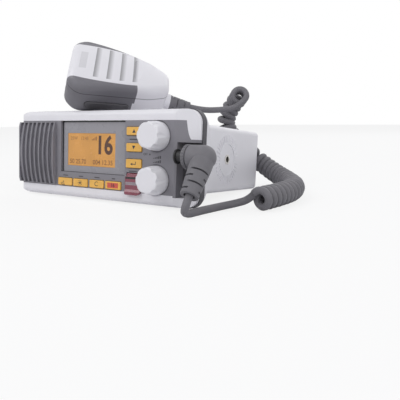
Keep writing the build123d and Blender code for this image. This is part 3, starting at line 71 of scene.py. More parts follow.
# ------------------------------------------------------------------ poses of the two bodies
@dataclass(frozen=True)
class Stance:
    """How the radio leans back on its gasket and its rear bottom edge."""

    lean: float = math.radians(5.726691715744631)
    set_back: float = 61.44155434054653 * MM
    foot_drop: float = -38.57096136600764 * MM

    def matrix(self) -> Matrix:
        """Return the matrix from the radio's own level frame to the table's."""
        place = Matrix.Translation((0, -self.set_back, -self.foot_drop))
        return place @ Matrix.Rotation(-self.lean, 4, "X")


@dataclass(frozen=True)
class MicrophoneRest:
    """How the microphone lies on the radio: its middle, and how it is turned, dipped and leaned."""

    place: Point = (-13.5 * MM, 41.0 * MM, 73.06 * MM)
    turn: float = math.radians(46.2)
    dip: float = math.radians(9.6)
    lean: float = math.radians(43.0)

    def matrix(self) -> Matrix:
        """Return the matrix from the microphone's frame to the radio's level frame."""
        turned = Matrix.Rotation(self.turn, 4, "Z") @ Matrix.Rotation(self.dip, 4, "Y")
        return Matrix.Translation(self.place) @ turned @ Matrix.Rotation(UPRIGHT - self.lean, 4, "X")


# ------------------------------------------------------------------ selecting and joining
def deselect_all() -> None:
    """Leave object mode with nothing selected."""
    active = bpy.context.object
    if active is not None and active.mode != "OBJECT":
        bpy.ops.object.mode_set(mode="OBJECT")
    bpy.ops.object.select_all(action="DESELECT")


def take_up(*pieces: Piece) -> None:
    """Select these objects alone.

    Args:
        pieces: The objects, of which the first becomes the active one.
    """
    deselect_all()
    for piece in pieces:
        piece.select_set(True)
    bpy.context.view_layer.objects.active = pieces[0]


def join(*parts: Piece) -> Piece:
    """Join several meshes.

    Args:
        parts: The meshes.

    Returns:
        The first of them, which now holds them all.
    """
    take_up(*parts)
    bpy.ops.object.join()
    return parts[0]


def give_finish(piece: Piece, finish: Material) -> None:
    """Give a piece this finish and no other."""
    piece.data.materials.clear()
    piece.data.materials.append(finish)


# ------------------------------------------------------------------ finishes
class Tone(enum.Enum):
    """Colours of the radio's finishes, in linear light."""

    WHITE = (0.80, 0.79, 0.83)
    FASCIA = (0.225, 0.218, 0.243)
    DARK = (0.085, 0.082, 0.092)
    GRIP = (0.170, 0.165, 0.185)
    SEAM = (0.03, 0.03, 0.035)
    CORD = (0.155, 0.150, 0.165)
    PLATE = (0.275, 0.268, 0.295)
    AMBER = (0.62, 0.300, 0.075)
    KEY = (0.83, 0.47, 0.10)
    KEY_EDGE = (0.20, 0.06, 0.03)
    MARK_RED = (0.62, 0.10, 0.07)
    RED_COVER = (0.23, 0.045, 0.075)
    COVER_LABEL = (0.30, 0.25, 0.28)
    RED = (0.55, 0.035, 0.04)
    INK = (0.035, 0.033, 0.04)
    LIQUID = (0.095, 0.045, 0.03)
    FAINT_LIQUID = (0.27, 0.12, 0.04)
    BLACK = (0.02, 0.02, 0.022)
    STEEL = (0.62, 0.61, 0.60)
    NICKEL = (0.72, 0.70, 0.66)
    GOLD = (0.83, 0.62, 0.27)
    TIN = (0.62, 0.60, 0.52)
    BOARD = (0.02, 0.13, 0.06)
    MAT = (0.50, 0.50, 0.47)
    FLOOR = (0.86, 0.86, 0.87)
    SKY = (0.96, 0.97, 1.0)


class Nodes:
    """A node tree, with short calls to lay its nodes."""

    def __init__(self, tree: bpy.types.NodeTree) -> None:
        """Take up the tree."""
        self.tree = tree

    def feed(self, node: bpy.types.Node, inputs: Inputs) -> None:
        """Give inputs of a node their values.

        Args:
            node: The node.
            inputs: Sockets and plain values, by the inputs' names or numbers.
        """
        for key, value in inputs.items():
            if isinstance(value, Socket):
                self.tree.links.new(value, node.inputs[key])
            else:
                node.inputs[key].default_value = value

    def node(self, kind: str, inputs: Inputs | None = None, **settings: object) -> bpy.types.Node:
        """Add a node.

        Args:
            kind: Its type.
            inputs: Sockets and plain values, by the inputs' names or numbers.
            settings: What to set on it.

        Returns:
            The node.
        """
        made = self.tree.nodes.new(kind)
        for key, value in settings.items():
            setattr(made, key, value)
        self.feed(made, inputs or {})
        return made

    def maths(self, operation: str, first: Value, second: Value = 0.0) -> Socket:
        """Return what this operation makes of two values."""
        return self.node("ShaderNodeMath", {0: first, 1: second}, operation=operation).outputs[0]

    def plus(self, first: Value, second: Value) -> Socket:
        """Return the sum of two values."""
        return self.maths("ADD", first, second)

    def minus(self, first: Value, second: Value) -> Socket:
        """Return a value less another."""
        return self.maths("SUBTRACT", first, second)

    def times(self, first: Value, second: Value) -> Socket:
        """Return the product of two values."""
        return self.maths("MULTIPLY", first, second)

    def show(self, output: str, share: Socket, first: Socket, second: Socket) -> None:
        """Show two shaders through this output node, with this share of the second."""
        mixed = self.node("ShaderNodeMixShader", {0: share, 1: first, 2: second})
        self.feed(self.tree.nodes[output], {"Surface": mixed.outputs[0]})


class Recipe(Nodes):
    """Node tree of one material, which reads places from Object coordinates."""

    def __init__(self, name: str) -> None:
        """Start the material.

        Args:
            name: Its name.
        """
        self.material = bpy.data.materials.new(name)
        self.material.use_nodes = True
        super().__init__(self.material.node_tree)
        self.shader = self.tree.nodes["Principled BSDF"]
        self.place = self.node("ShaderNodeTexCoord").outputs["Object"]

    def take(self, **values: object) -> None:
        """Give inputs of the shader their values, by their names with _ for spaces."""
        self.feed(self.shader, {key.replace("_", " "): value for key, value in values.items()})

    def stretched(self, scale: Point, turn: Point = (0.0, 0.0, 0.0)) -> Socket:
        """Return the piece's coordinates, scaled and turned."""
        inputs = {"Vector": self.place, "Scale": scale, "Rotation": turn}
        return self.node("ShaderNodeMapping", inputs).outputs["Vector"]

    def noise(self, size: float, detail: float = 2.0, where: Socket | None = None) -> Socket:
        """Return noise about 0.5, whose blotches are about this size across."""
        inputs = {"Vector": where or self.place, "Scale": 1.0 / size, "Detail": detail}
        return self.node("ShaderNodeTexNoise", inputs).outputs["Fac"]

    def fit(self, value: Socket, low: float, high: float, start: float = 0.3, end: float = 0.7) -> Socket:
        """Return low where a value is below start, high where it is above end, and a ramp between."""
        inputs = {"Value": value, "From Min": start, "From Max": end, "To Min": low, "To Max": high}
        return self.node("ShaderNodeMapRange", inputs).outputs["Result"]

    def rise(self, value: Socket, limit: Value, ramp: float = 0.25) -> Socket:
        """Return 0 where a value is below a limit and 1 above it, with a short ramp between."""
        return self.fit(self.minus(value, limit), 0.0, 1.0, -ramp / 2, ramp / 2)

    def within(self, value: Socket, low: Value, high: Value) -> Socket:
        """Return 1 between two limits and 0 beyond them."""
        return self.minus(self.rise(value, low), self.rise(value, high))

    def mix(self, share: Socket, first: Socket | Colour, second: Socket | Colour) -> Socket:
        """Return a mix of two colours, with this share of the second."""
        first, second = (one if isinstance(one, Socket) else (*one, 1.0) for one in (first, second))
        return self.node("ShaderNodeMix", {"Factor": share, 6: first, 7: second}, data_type="RGBA").outputs[2]

    def dot(self, first: Socket, second: object) -> Socket:
        """Return the dot product of two vectors."""
        inputs = {0: first, 1: second}
        return self.node("ShaderNodeVectorMath", inputs, operation="DOT_PRODUCT").outputs["Value"]

    def bump(self, height: Socket, depth: float) -> Socket:
        """Return the normal of a surface raised by a height of this depth."""
        return self.node("ShaderNodeBump", {"Distance": depth, "Height": height}).outputs["Normal"]

    def edges(self, radius: float, sharp: float = 0.86, flat: float = 0.99) -> Socket:
        """Find the piece's edges.

        Args:
            radius: How far from an edge to look.
            sharp: Cosine of a turn that counts as a full edge.
            flat: Cosine of a turn that still counts as flat.

        Returns:
            How much the surface turns within this radius, from 0 on flats to 1 on edges.
        """
        rounded = self.node("ShaderNodeBevel", {"Radius": radius}, samples=4)
        plain = self.node("ShaderNodeNewGeometry")
        return self.fit(self.dot(rounded.outputs["Normal"], plain.outputs["Normal"]), 1.0, 0.0, sharp, flat)


@dataclass(frozen=True)
class Finish:
    """A finish: how a piece's surface looks. The plain one is a moulded plastic."""

    name: str
    colour: Colour
    roughness: float = 0.5
    uneven: float = 0.06
    mottle: float = 0.03
    blotch: float = 30 * MM
    wiped: float = 0.4  # size of the wiped patches, as a share of the blotches'
    grain: float = 0.35 * MM
    grain_depth: float = 0.02 * MM
    edge_width: float = 0.5 * MM
    edge_rub: float = 0.12
    edge_patch: float = 6 * MM
    edge_colour: Colour | None = None
    coat: float = 0.0
    sheen: float = 0.0

    def shade(self, share: float) -> Colour:
        """Return the colour made lighter or darker by a share."""
        return tuple(min(1.0, max(0.0, part * (1.0 + share))) for part in self.colour)

    def rough(self, recipe: Recipe, noise: Socket) -> Socket:
        """Return a roughness that follows this noise about the finish's own."""
        return recipe.fit(noise, self.roughness - self.uneven, self.roughness + self.uneven)

    def build(self) -> Material:
        """Make the material.

        Returns:
            The material.
        """
        recipe = Recipe(self.name)
        recipe.take(Coat_Weight=self.coat, Sheen_Weight=self.sheen)
        self.dress(recipe)
        return recipe.material

    def dress(self, recipe: Recipe) -> None:
        """Lay colour, roughness and relief: a fine moulded grain, soft blotches and rubbed edges.

        Args:
            recipe: The material's nodes.
        """
        blotches = recipe.fit(recipe.noise(self.blotch, 3.0), 0.0, 1.0)
        body = recipe.mix(blotches, self.shade(-self.mottle), self.shade(self.mottle))
        patches = recipe.fit(recipe.noise(self.edge_patch), 0.0, self.edge_rub)
        rubbed = recipe.times(recipe.edges(self.edge_width), patches)
        recipe.take(
            Base_Color=recipe.mix(rubbed, body, self.edge_colour or self.shade(0.9)),
            Roughness=self.rough(recipe, recipe.noise(self.blotch * self.wiped, 4.0)),
            Normal=recipe.bump(recipe.noise(self.grain, 3.0), self.grain_depth),
        )


@dataclass(frozen=True)
class Metal(Finish):
    """Plated or plain metal with fine turning marks."""

    mark: Point = (1.0, 1.0, 14.0)
    mark_size: float = 0.5 * MM
    mark_depth: float = 0.01 * MM
    stain: float = 8 * MM

    def dress(self, recipe: Recipe) -> None:
        """Lay turning marks, faint stains and a bright colour.

        Args:
            recipe: The material's nodes.
        """
        stains = recipe.fit(recipe.noise(self.stain, 4.0), 0.0, 1.0)
        marks = recipe.noise(self.mark_size, 2.0, recipe.stretched(self.mark))
        recipe.take(
            Metallic=1.0,
            Base_Color=recipe.mix(stains, self.shade(-0.12), self.shade(0.05)),
            Roughness=self.rough(recipe, marks),
            Normal=recipe.bump(marks, self.mark_depth),
        )


@dataclass(frozen=True)
class ShellPlaces:
    """Coordinates on the microphone, in millimetres, and the bowed line where its lower side starts."""

    along: Socket
    across: Socket
    out: Socket
    line: Socket


@dataclass(frozen=True)
class MicrophoneShell(Finish):
    """A shell of the microphone: pale, with dark sides, and painted shade in channels across its face.

    Places are in millimetres of the microphone's own frame: along it to the cord's end, across it,
    and out of its face.
    """

    into: Matrix = field(default_factory=Matrix)
    side_colour: Colour = Tone.GRIP.value
    side_starts: Span = (-20.0, 20.0)
    side_bow: float = 0.0
    side_end: float = 11.5
    side_slant: float = 0.35
    widest: float = -20.0
    seam: float = 0.3
    seam_share: float = 0.85
    channels: int = 0
    first: float = -19.0
    pitch: float = 10.9
    reach: float = 3.2
    channel_foot: float = 3.2
    channel_top: float = 13.6
    fade: Span = (0.5, 1.6)  # how far inside the channel's edges its painted shade starts and ends to fade
    name_along: Span = (-34.6, -28.8)
    name_across: Span = (-19.0, 2.6)
    name_share: float = 0.5

    def places(self, recipe: Recipe) -> ShellPlaces:
        """Read the microphone's own coordinates.

        Args:
            recipe: The material's nodes.

        Returns:
            The coordinates, and the line where its lower side starts.
        """
        read = []
        for *weights, offset in self.into[:3]:
            dot = recipe.dot(recipe.place, [weight / MM for weight in weights])
            read.append(recipe.plus(dot, offset / MM))
        past = recipe.minus(read[0], self.widest)
        bow = recipe.times(recipe.times(past, past), self.side_bow)
        return ShellPlaces(*read, recipe.plus(bow, self.side_starts[0]))

    def side_mask(self, recipe: Recipe, at: ShellPlaces) -> Socket:
        """Find the dark sides, beyond their inner lines and short of their slanted cord end.

        Args:
            recipe: The material's nodes.
            at: The coordinates.

        Returns:
            1 on the sides and 0 elsewhere.
        """
        below = recipe.minus(1.0, recipe.rise(at.across, at.line))
        outside = recipe.maths("MAXIMUM", below, recipe.rise(at.across, self.side_starts[1]))
        slant = recipe.times(recipe.maths("ABSOLUTE", at.across), self.side_slant)
        end = recipe.plus(slant, self.side_end - self.side_slant * self.side_starts[1])
        return recipe.times(outside, recipe.minus(1.0, recipe.rise(at.along, end)))

    def channel_shade(self, recipe: Recipe, at: ShellPlaces) -> Socket:
        """Paint shade into the channels: deep along their head side, gone at the other.

        Args:
            recipe: The material's nodes.
            at: The coordinates.

        Returns:
            The painted shade, from 0 to 1.
        """
        half = self.pitch / 2
        turn = recipe.maths("DIVIDE", recipe.plus(at.along, half - self.first), self.pitch)
        part = recipe.times(recipe.maths("FRACT", turn), self.pitch)
        start, end = half - self.reach, half + self.reach
        row = recipe.within(at.along, self.first - half, self.first + (self.channels - 0.5) * self.pitch)
        high = recipe.within(at.across, recipe.plus(at.line, self.channel_foot), self.channel_top)
        fading = recipe.fit(part, 1.0, 0.0, start + self.fade[0], end - self.fade[1])
        return recipe.times(recipe.times(row, high), recipe.times(recipe.within(part, start, end), fading))

    def dress(self, recipe: Recipe) -> None:
        """Lay the plain plastic, then the dark sides, the channels' painted shade and the seam over it.

        Args:
            recipe: The material's nodes.
        """
        super().dress(recipe)
        plain = recipe.shader.inputs["Base Color"].links[0].from_socket
        at = self.places(recipe)
        colour = recipe.mix(self.side_mask(recipe, at), plain, self.side_colour)
        if self.channels:
            beside = recipe.within(at.along, *self.name_along)
            name = recipe.times(beside, recipe.within(at.across, *self.name_across))
            colour = recipe.mix(recipe.times(name, self.name_share), colour, self.shade(-0.3))
            # painted shade along each channel's head side, where its wall would fall in shade
            colour = recipe.mix(self.channel_shade(recipe, at), colour, self.shade(-0.6))
        joint = recipe.times(recipe.within(at.out, -self.seam, self.seam), self.seam_share)
        recipe.take(Base_Color=recipe.mix(joint, colour, Tone.SEAM.value))


@dataclass(frozen=True)
class LitDisplay(Finish):
    """Back-lit amber liquid crystal under a grid of fine dots."""

    lean: float = 0.0
    dot: float = 0.42 * MM
    gap: float = 0.08  # between the dots, as a share of their size
    gap_share: float = 0.16
    glow: float = 0.12
    glow_patch: float = 22 * MM
    smear: float = 5 * MM

    def grid(self, recipe: Recipe, where: Socket) -> Socket:
        """Lay the gaps between the dots.

        Args:
            recipe: The material's nodes.
            where: Coordinates, turned so that the display stands upright in them.

        Returns:
            1 in the gaps and 0 on the dots.
        """
        flat = recipe.node("ShaderNodeSeparateXYZ", {"Vector": where}).outputs
        plane = recipe.node("ShaderNodeCombineXYZ", {"X": flat["X"], "Y": flat["Z"]}).outputs["Vector"]
        gaps = {"Mortar Size": self.gap, "Mortar Smooth": 0.3}
        cell = {"Vector": plane, "Scale": 1.0 / self.dot, "Brick Width": 1.0, "Row Height": 1.0}
        return recipe.node("ShaderNodeTexBrick", {**cell, **gaps}, offset=0.0, squash=1.0).outputs["Fac"]

    def dress(self, recipe: Recipe) -> None:
        """Lay an uneven glow and the faint grid of dots.

        Args:
            recipe: The material's nodes.
        """
        where = recipe.stretched((1.0, 1.0, 1.0), (self.lean, 0.0, 0.0))
        glow = recipe.fit(recipe.noise(self.glow_patch, 1.0, where), 0.0, 1.0)
        lit = recipe.mix(glow, self.shade(-0.09), self.shade(0.10))
        lines = recipe.fit(self.grid(recipe, where), 0.0, self.gap_share, 0.0, 1.0)
        colour = recipe.mix(lines, lit, self.shade(-0.45))
        smears = recipe.fit(recipe.noise(self.smear), 0.16, 0.3)
        recipe.take(Base_Color=colour, Emission_Color=colour, Emission_Strength=self.glow, Roughness=smears)


@dataclass(frozen=True)
class Cloth(Finish):
    """Woven acoustic cloth."""

    thread: float = 0.5 * MM
    relief: float = 0.15 * MM
    wave_scale: float = 0.31  # of the wave texture, for one thread per wave

    def dress(self, recipe: Recipe) -> None:
        """Lay warp and weft as two sets of waves.

        Args:
            recipe: The material's nodes.
        """
        inputs = {"Vector": recipe.place, "Scale": self.wave_scale / self.thread}
        waves = [recipe.node("ShaderNodeTexWave", inputs, bands_direction=way) for way in ("X", "Z")]
        weave = recipe.times(*(wave.outputs["Fac"] for wave in waves))
        recipe.take(
            Base_Color=recipe.mix(weave, self.shade(-0.3), self.shade(0.6)),
            Roughness=recipe.fit(weave, 0.95, 0.7, 0.0, 1.0),
            Normal=recipe.bump(weave, self.relief),
        )


@dataclass(frozen=True)
class CircuitBoard(Finish):
    """Coated circuit board with copper tracks under its coat."""

    cell: float = 2.4 * MM
    track_border: Span = (0.42, 0.46)
    pad_border: Span = (0.06, 0.09)
    relief: float = 0.03 * MM
    smear: float = 4 * MM

    def dress(self, recipe: Recipe) -> None:
        """Lay tracks as the borders of long cells, and tinned pads in their middles.

        Args:
            recipe: The material's nodes.
        """
        inputs = {"Vector": recipe.stretched((1.0, 2.4, 2.4)), "Scale": 1.0 / self.cell, "Randomness": 0.7}
        cells = recipe.node("ShaderNodeTexVoronoi", inputs, distance="CHEBYCHEV", feature="F1")
        tracks = recipe.fit(cells.outputs["Distance"], 0.0, 1.0, *self.track_border)
        pads = recipe.fit(cells.outputs["Distance"], 1.0, 0.0, *self.pad_border)
        recipe.take(
            Base_Color=recipe.mix(pads, recipe.mix(tracks, self.colour, self.shade(0.7)), Tone.TIN.value),
            Roughness=recipe.fit(recipe.noise(self.smear), 0.3, 0.5),
            Normal=recipe.bump(tracks, self.relief),
        )


def ink(name: str, tone: Tone, roughness: float = 0.5) -> Material:
    """Return a thin flat finish of this tone, for printed ink and for painted shade."""
    fine = {"blotch": 3 * MM, "grain": 0.3 * MM, "grain_depth": 0.005 * MM}
    return Finish(name, tone.value, roughness, mottle=0.08, **fine).build()


# ------------------------------------------------------------------ the solids' finishes
@dataclass
class SolidFinishes:
    """Which finish each solid takes."""

    lean: float
    into_microphone: Matrix
    fine_grain: float = 0.45 * MM
    soft_grain: float = 0.5 * MM

    def mouldings(self) -> Dressings:
        """List the moulded plastics of the case and the microphone.

        Returns:
            Each finish with the names of its solids.
        """
        white = Tone.WHITE.value
        case = {"mottle": 0.012, "grain": self.soft_grain}
        dark = {"grain": self.fine_grain, "grain_depth": 0.04 * MM}
        shell = {"mottle": 0.012, "into": self.into_microphone}
        sides = {"side_starts": (-30.2, 15.0), "side_bow": 0.0041, "channels": 4}
        face = MicrophoneShell("microphone_face", white, 0.42, grain=self.soft_grain, **shell, **sides)
        back = MicrophoneShell("microphone_back", white, 0.5, grain=self.soft_grain, **shell)
        grip = {"grain": 0.6 * MM, "grain_depth": 0.05 * MM}
        side = MicrophoneShell("microphone_side", white, 0.6, **grip, **shell, **sides)
        return [
            (Finish("white_case", white, 0.42, **case), ("front_bezel", "chassis")),
            (Finish("white_knob", white, 0.36, mottle=0.01, grain=0.4 * MM), ("volume_knob", "squelch_knob")),
            (Finish("grey_case", Tone.FASCIA.value, 0.55, **dark), ("front_panel",)),
            (Finish("dark_shell", Tone.DARK.value, 0.55, **dark), ("ptt_button",)),
            (face, ("mic_front_shell",)),
            (back, ("mic_rear_shell",)),
            (side, ("mic_grip_lower", "mic_grip_upper")),
        ]

    def fascia(self) -> Dressings:
        """List the gasket's rubber, the display, the keys and the distress button.

        Returns:
            Each finish with the names of its solids.
        """
        key = {"mottle": 0.06, "blotch": 9 * MM, "edge_rub": 1.0, "edge_colour": Tone.KEY_EDGE.value}
        glossy = {"grain": 1.2 * MM, "grain_depth": 0.003 * MM, "coat": 0.5}
        cover = {"blotch": 6 * MM, "grain_depth": 0.005 * MM, "coat": 0.5}
        amber = ("key_call", "key_weather", "key_clear", "key_up", "key_down", "key_enter")
        return [
            (Finish("gasket_rubber", Tone.DARK.value, 0.75, grain=self.soft_grain, sheen=0.15), ("gasket",)),
            (Finish("display_cover", Tone.PLATE.value, 0.3, mottle=0.02, **glossy), ("display_window",)),
            (LitDisplay("display", Tone.AMBER.value, lean=self.lean), ("lcd_module",)),
            (Finish("amber_keys", Tone.KEY.value, 0.42, **key), amber),
            (Finish("orange_key", Tone.KEY.value, 0.42, **key), ("key_channel_16",)),
            (Finish("red_cover", Tone.RED_COVER.value, 0.22, mottle=0.08, **cover), ("distress_cover",)),
            (Finish("red_button", Tone.RED.value, 0.4, mottle=0.05, blotch=6 * MM), ("distress_button",)),
            (Finish("key_mat", Tone.MAT.value, 0.7, mottle=0.05), ("keypad_mat",)),
        ]

    def fittings(self) -> Dressings:
        """List the plug's rubber, the metal pieces and what lies inside.

        Returns:
            Each finish with the names of its solids.
        """
        plug = ("plug_elbow", "plug_strain_relief", "mic_strain_relief", "plug_coupling_ring")
        glands = ("power_gland", "accessory_gland")
        rubber = {"blotch": 12 * MM, "grain": self.soft_grain, "grain_depth": 0.05 * MM, "sheen": 0.12}
        black = ("mic_socket", "volume_pot", "squelch_pot", "ptt_switch", "rf_power_module", "speaker")
        shafts = ("volume_shaft", "squelch_shaft", "distress_hinge_pin")
        screws = ("bezel_screws", "board_screws", "antenna_screws", "mic_screws")
        cans = ("shield_can", "mic_capsule", "mic_hanger_stud")
        mounts = ("antenna_socket", "bracket_insert_right", "bracket_insert_left")
        across = (1.0, 10.0, 1.0)
        return [
            (Finish("cord_rubber", Tone.CORD.value, 0.62, mottle=0.06, **rubber), plug + glands),
            (Finish("black_plastic", Tone.BLACK.value, 0.5, mottle=0.1), black),
            (Metal("plated_contacts", Tone.GOLD.value, 0.25, 0.08), ("plug_contacts",)),
            (Metal("plain_steel", Tone.STEEL.value, 0.34, 0.1), shafts + screws + cans),
            (Metal("nickel_plate", Tone.NICKEL.value, 0.24, 0.08, mark=across), mounts),
            (CircuitBoard("circuit_board", Tone.BOARD.value), ("front_board", "main_board", "mic_board")),
            (Cloth("acoustic_cloth", Tone.BLACK.value), ("speaker_cloth",)),
        ]

    def apply(self, nodes: dict[str, Piece]) -> dict[str, Material]:
        """Give every solid its finish.

        Args:
            nodes: The solids by name.

        Returns:
            The materials by name.
        """
        made = {}
        for finish, solids in (*self.mouldings(), *self.fascia(), *self.fittings()):
            made[finish.name] = finish.build()
            for solid in solids:
                node = nodes[solid]
                if not node.data.materials:
                    node.data.materials.append(made[finish.name])
                for slot in node.material_slots:
                    slot.material = made[finish.name]
                log.info("%s: %s", solid, finish.name)
        return made


# ------------------------------------------------------------------ the cord
@dataclass(frozen=True)
class AxisPoint:
    """A point along the middle of the coil: how far along, where, which way, and how bent."""

    travelled: float
    middle: Vector
    tangent: Vector
    out: Vector
    bend: float = 0.0

    def around(self, angle: float, radius: float) -> Vector:
        """Return the place at this angle and distance about the axis."""
        sideways = self.tangent.cross(self.out)
        return self.middle + (self.out * math.cos(angle) + sideways * math.sin(angle)) * radius

    def toward(self, other: "AxisPoint", share: float) -> "AxisPoint":
        """Find a point between this one and another.

        Args:
            other: The other point.
            share: Share of the way to it.

        Returns:
            The point between them.
        """
        travelled = self.travelled + (other.travelled - self.travelled) * share
        tangent = self.tangent.lerp(other.tangent, share).normalized()
        out = self.out.lerp(other.out, share)
        out = (out - tangent * out.dot(tangent)).normalized()
        return AxisPoint(travelled, self.middle.lerp(other.middle, share), tangent, out)


@dataclass
class CoiledCord:
    """The microphone's cord: a plain lead out of the plug, the coil, and a plain lead to the microphone.

    The three routes are in millimetres.
    """

    radius: float = 2.9 * MM
    turn_radius: float = 6.35 * MM
    plug_lead: tuple[Point, ...] = (
        (100.1, -80.38, 16.97),
        (100.1, -86.25, 10.15),
        (97.0, -83.5, 2.9),
        (100.4, -66.0, 2.9),
        (105.7, -45.5, 2.9),
        (114.0, -37.5, 4.5),
        (122.6, -33.2, 7.2),
        (128.8, -34.2, 13.4),
    )
    coil: tuple[Point, ...] = (
        (133.0, -37.4, 9.3),
        (141.0, -6.4, 9.3),
        (140.0, 22.6, 9.3),
        (126.0, 50.6, 9.3),
        (104.0, 68.6, 15.0),
        (80.0, 75.6, 28.0),
        (58.0, 76.6, 45.0),
        (47.0, 74.6, 60.0),
        (52.0, 77.6, 76.0),
        (61.0, 77.6, 86.0),
        (68.0, 66.6, 88.5),
    )
    mic_lead: tuple[Point, ...] = (
        (29.14, 35.8, 77.58),
        (38.69, 45.47, 74.26),
        (56.0, 56.5, 74.8),
        (66.7, 63.2, 77.1),
        (72.2, 68.3, 84.2),
    )
    pitch: float = 5.75 * MM
    open_pitch: float = 6.3 * MM  # where the coil's first turns are pulled open
    open_turns: float = 4.0
    spread: float = 0.5  # how much wider turns advance in a bend
    least_spread: float = 0.8
    reversal: float = 0.62  # where the winding changes hand, as a share of the coil
    reversal_rate: float = 1.6
    points_per_turn: int = 26
    least_step: float = 1.2 * MM
    sides: int = 16
    length: float = 1.65
    blend_start: Point = (0.05, 0.07, 0.030)
    blend_end: Point = (0.05, 0.07, 0.074)

    def lay_curve(self, name: str, kind: str, points: list[Point]) -> Piece:
        """Lay a curve through points.

        Args:
            name: Its name.
            kind: POLY for straight runs, or NURBS for a smooth line that the points steer.
            points: The points, in metres.

        Returns:
            The curve object.
        """
        curve = bpy.data.curves.new(name, "CURVE")
        curve.dimensions = "3D"
        spline = curve.splines.new(kind)
        spline.points.add(len(points) - 1)
        for knot, place in zip(spline.points, points):
            knot.co = (*place, 1.0)
        laid = bpy.data.objects.new(name, curve)
        bpy.context.scene.collection.objects.link(laid)
        return laid

    def read_route(self, name: str, points: tuple[Point, ...]) -> list[Vector]:
        """Draw a smooth spline through the given route points and read points along it.

        Args:
            name: Name of the helper curve.
            points: The route's control points in millimetres.

        Returns:
            Points along the spline, in metres.
        """
        helper = self.lay_curve(name, "NURBS", [(x * MM, y * MM, z * MM) for x, y, z in points])
        line = helper.data
        line.resolution_u = 24
        line.splines[0].order_u = 3
        line.splines[0].use_endpoint_u = True
        bpy.context.view_layer.update()
        read = bpy.data.meshes.new_from_object(helper)
        found = [vertex.co.copy() for vertex in read.vertices]
        bpy.data.objects.remove(helper)
        bpy.data.meshes.remove(read)
        bpy.data.curves.remove(line)
        return found

    def follow(self, axis: list[Vector], start: Vector) -> list[AxisPoint]:
        """Carry a frame along the middle of the coil without twisting it.

        Args:
            axis: Points along the middle of the coil.
            start: Where the first turn begins, which the frame's outward direction points at.

        Returns:
            A frame at each of the points.
        """
        tangent = (axis[1] - axis[0]).normalized()
        out = start - axis[0]
        out = (out - tangent * out.dot(tangent)).normalized()
        travelled = 0.0
        points = []
        for index, middle in enumerate(axis):
            behind, ahead = axis[max(index - 1, 0)], axis[min(index + 1, len(axis) - 1)]
            now = (ahead - behind).normalized()
            out = (tangent.rotation_difference(now) @ out).normalized()
            tangent = now
            travelled += (middle - behind).length
            bend = 0.0
            if 0 < index < len(axis) - 1:
                run = ((middle - behind).length + (ahead - middle).length) / 2
                bend = (middle - behind).angle(ahead - middle) / run
            points.append(AxisPoint(travelled, middle, tangent, out, bend))
        return points

    def count_turns(self, points: list[AxisPoint]) -> list[float]:
        """Work out how far round the cord has wound at each point of the axis.

        Turns advance by their pitch, wider where the coil is pulled open or bent. The winding changes
        hand once, behind the radio, as coiled cords do where they have been twisted.

        Args:
            points: The axis.

        Returns:
            The angle at each point.
        """
        total = points[-1].travelled
        angles = [0.0]
        for first, second in zip(points, points[1:]):
            middle = (first.travelled + second.travelled) / 2
            near = max(0.0, 1.0 - middle / (self.open_turns * self.open_pitch))
            pitch = self.pitch + (self.open_pitch - self.pitch) * near
            pitch /= max(self.least_spread, 1.0 - self.turn_radius * first.bend * self.spread)
            past = (middle / total - self.reversal) * total / self.pitch
            hand = -math.tanh(past * self.reversal_rate)
            run = second.travelled - first.travelled
            angles.append(angles[-1] + hand * 2 * math.pi * run / pitch)
        return angles

    def wind(self, axis: list[Vector], start: Vector, end: Vector) -> list[Vector]:
        """Wind the coil's turns about its route.

        Args:
            axis: Points along the middle of the coil.
            start: Where the first turn begins.
            end: Where the last turn ends.

        Returns:
            The line of the wound cord.
        """
        points = self.follow(axis, start)
        angles = self.count_turns(points)
        last = points[-1]
        toward = end - last.middle
        wanted = math.atan2(toward.dot(last.tangent.cross(last.out)), toward.dot(last.out))
        miss = (wanted - angles[-1] + math.pi) % (2 * math.pi) - math.pi
        log.info("coil: %.0f mm long, last turn moved by %.2f", last.travelled / MM, miss)
        angles = [angle + miss * (point.travelled / last.travelled) for point, angle in zip(points, angles)]
        line = []
        step = 2 * math.pi / self.points_per_turn
        for first, second, before, after in zip(points, points[1:], angles, angles[1:]):
            count = max(1, math.ceil(abs(after - before) / step))
            for share in (i / count for i in range(count)):
                angle = before + (after - before) * share
                line.append(first.toward(second, share).around(angle, self.turn_radius))
        line.append(last.around(angles[-1], self.turn_radius))
        return line

    def thin_out(self, line: list[Vector]) -> list[Vector]:
        """Drop points that lie closer together than the tube's rings need.

        Args:
            line: The cord's line.

        Returns:
            The points that stay, with both ends.
        """
        kept = [line[0]]
        for place in line[1:-1]:
            if (place - kept[-1]).length >= self.least_step:
                kept.append(place)
        return [*kept, line[-1]]

    def sweep(self, line: list[Vector]) -> Piece:
        """Sweep the round cord along its line.

        Args:
            line: The cord's line.

        Returns:
            The mesh object.
        """
        cord = self.lay_curve("coiled_cord", "POLY", line)
        cord.data.bevel_depth = self.radius
        cord.data.bevel_resolution = self.sides // 4 - 1
        cord.data.use_fill_caps = True
        take_up(cord)
        bpy.ops.object.convert(target="MESH")
        bpy.ops.object.shade_smooth()
        return bpy.context.object

    def build(self, material: Material) -> Piece:
        """Make the cord, from the microphone to the plug.

        Args:
            material: The jacket's finish.

        Returns:
            The cord's mesh object.
        """
        plug = self.read_route("plug_lead_route", self.plug_lead)
        axis = self.read_route("coil_route", self.coil)
        mic = self.read_route("mic_lead_route", self.mic_lead)
        wound = self.wind(axis, plug[-1], mic[-1])
        line = self.thin_out([*mic, *reversed(wound), *reversed(plug)])
        cord = self.sweep(line)
        cord.name = "coiled_cord"
        give_finish(cord, material)
        length = sum((b - a).length for a, b in zip(line, line[1:]))
        log.info("coiled_cord: %.3f m, %d faces", length, len(cord.data.polygons))
        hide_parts("cord_plug_lead", "cord_coil", "cord_mic_lead")
        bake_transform(cord)
        return cord
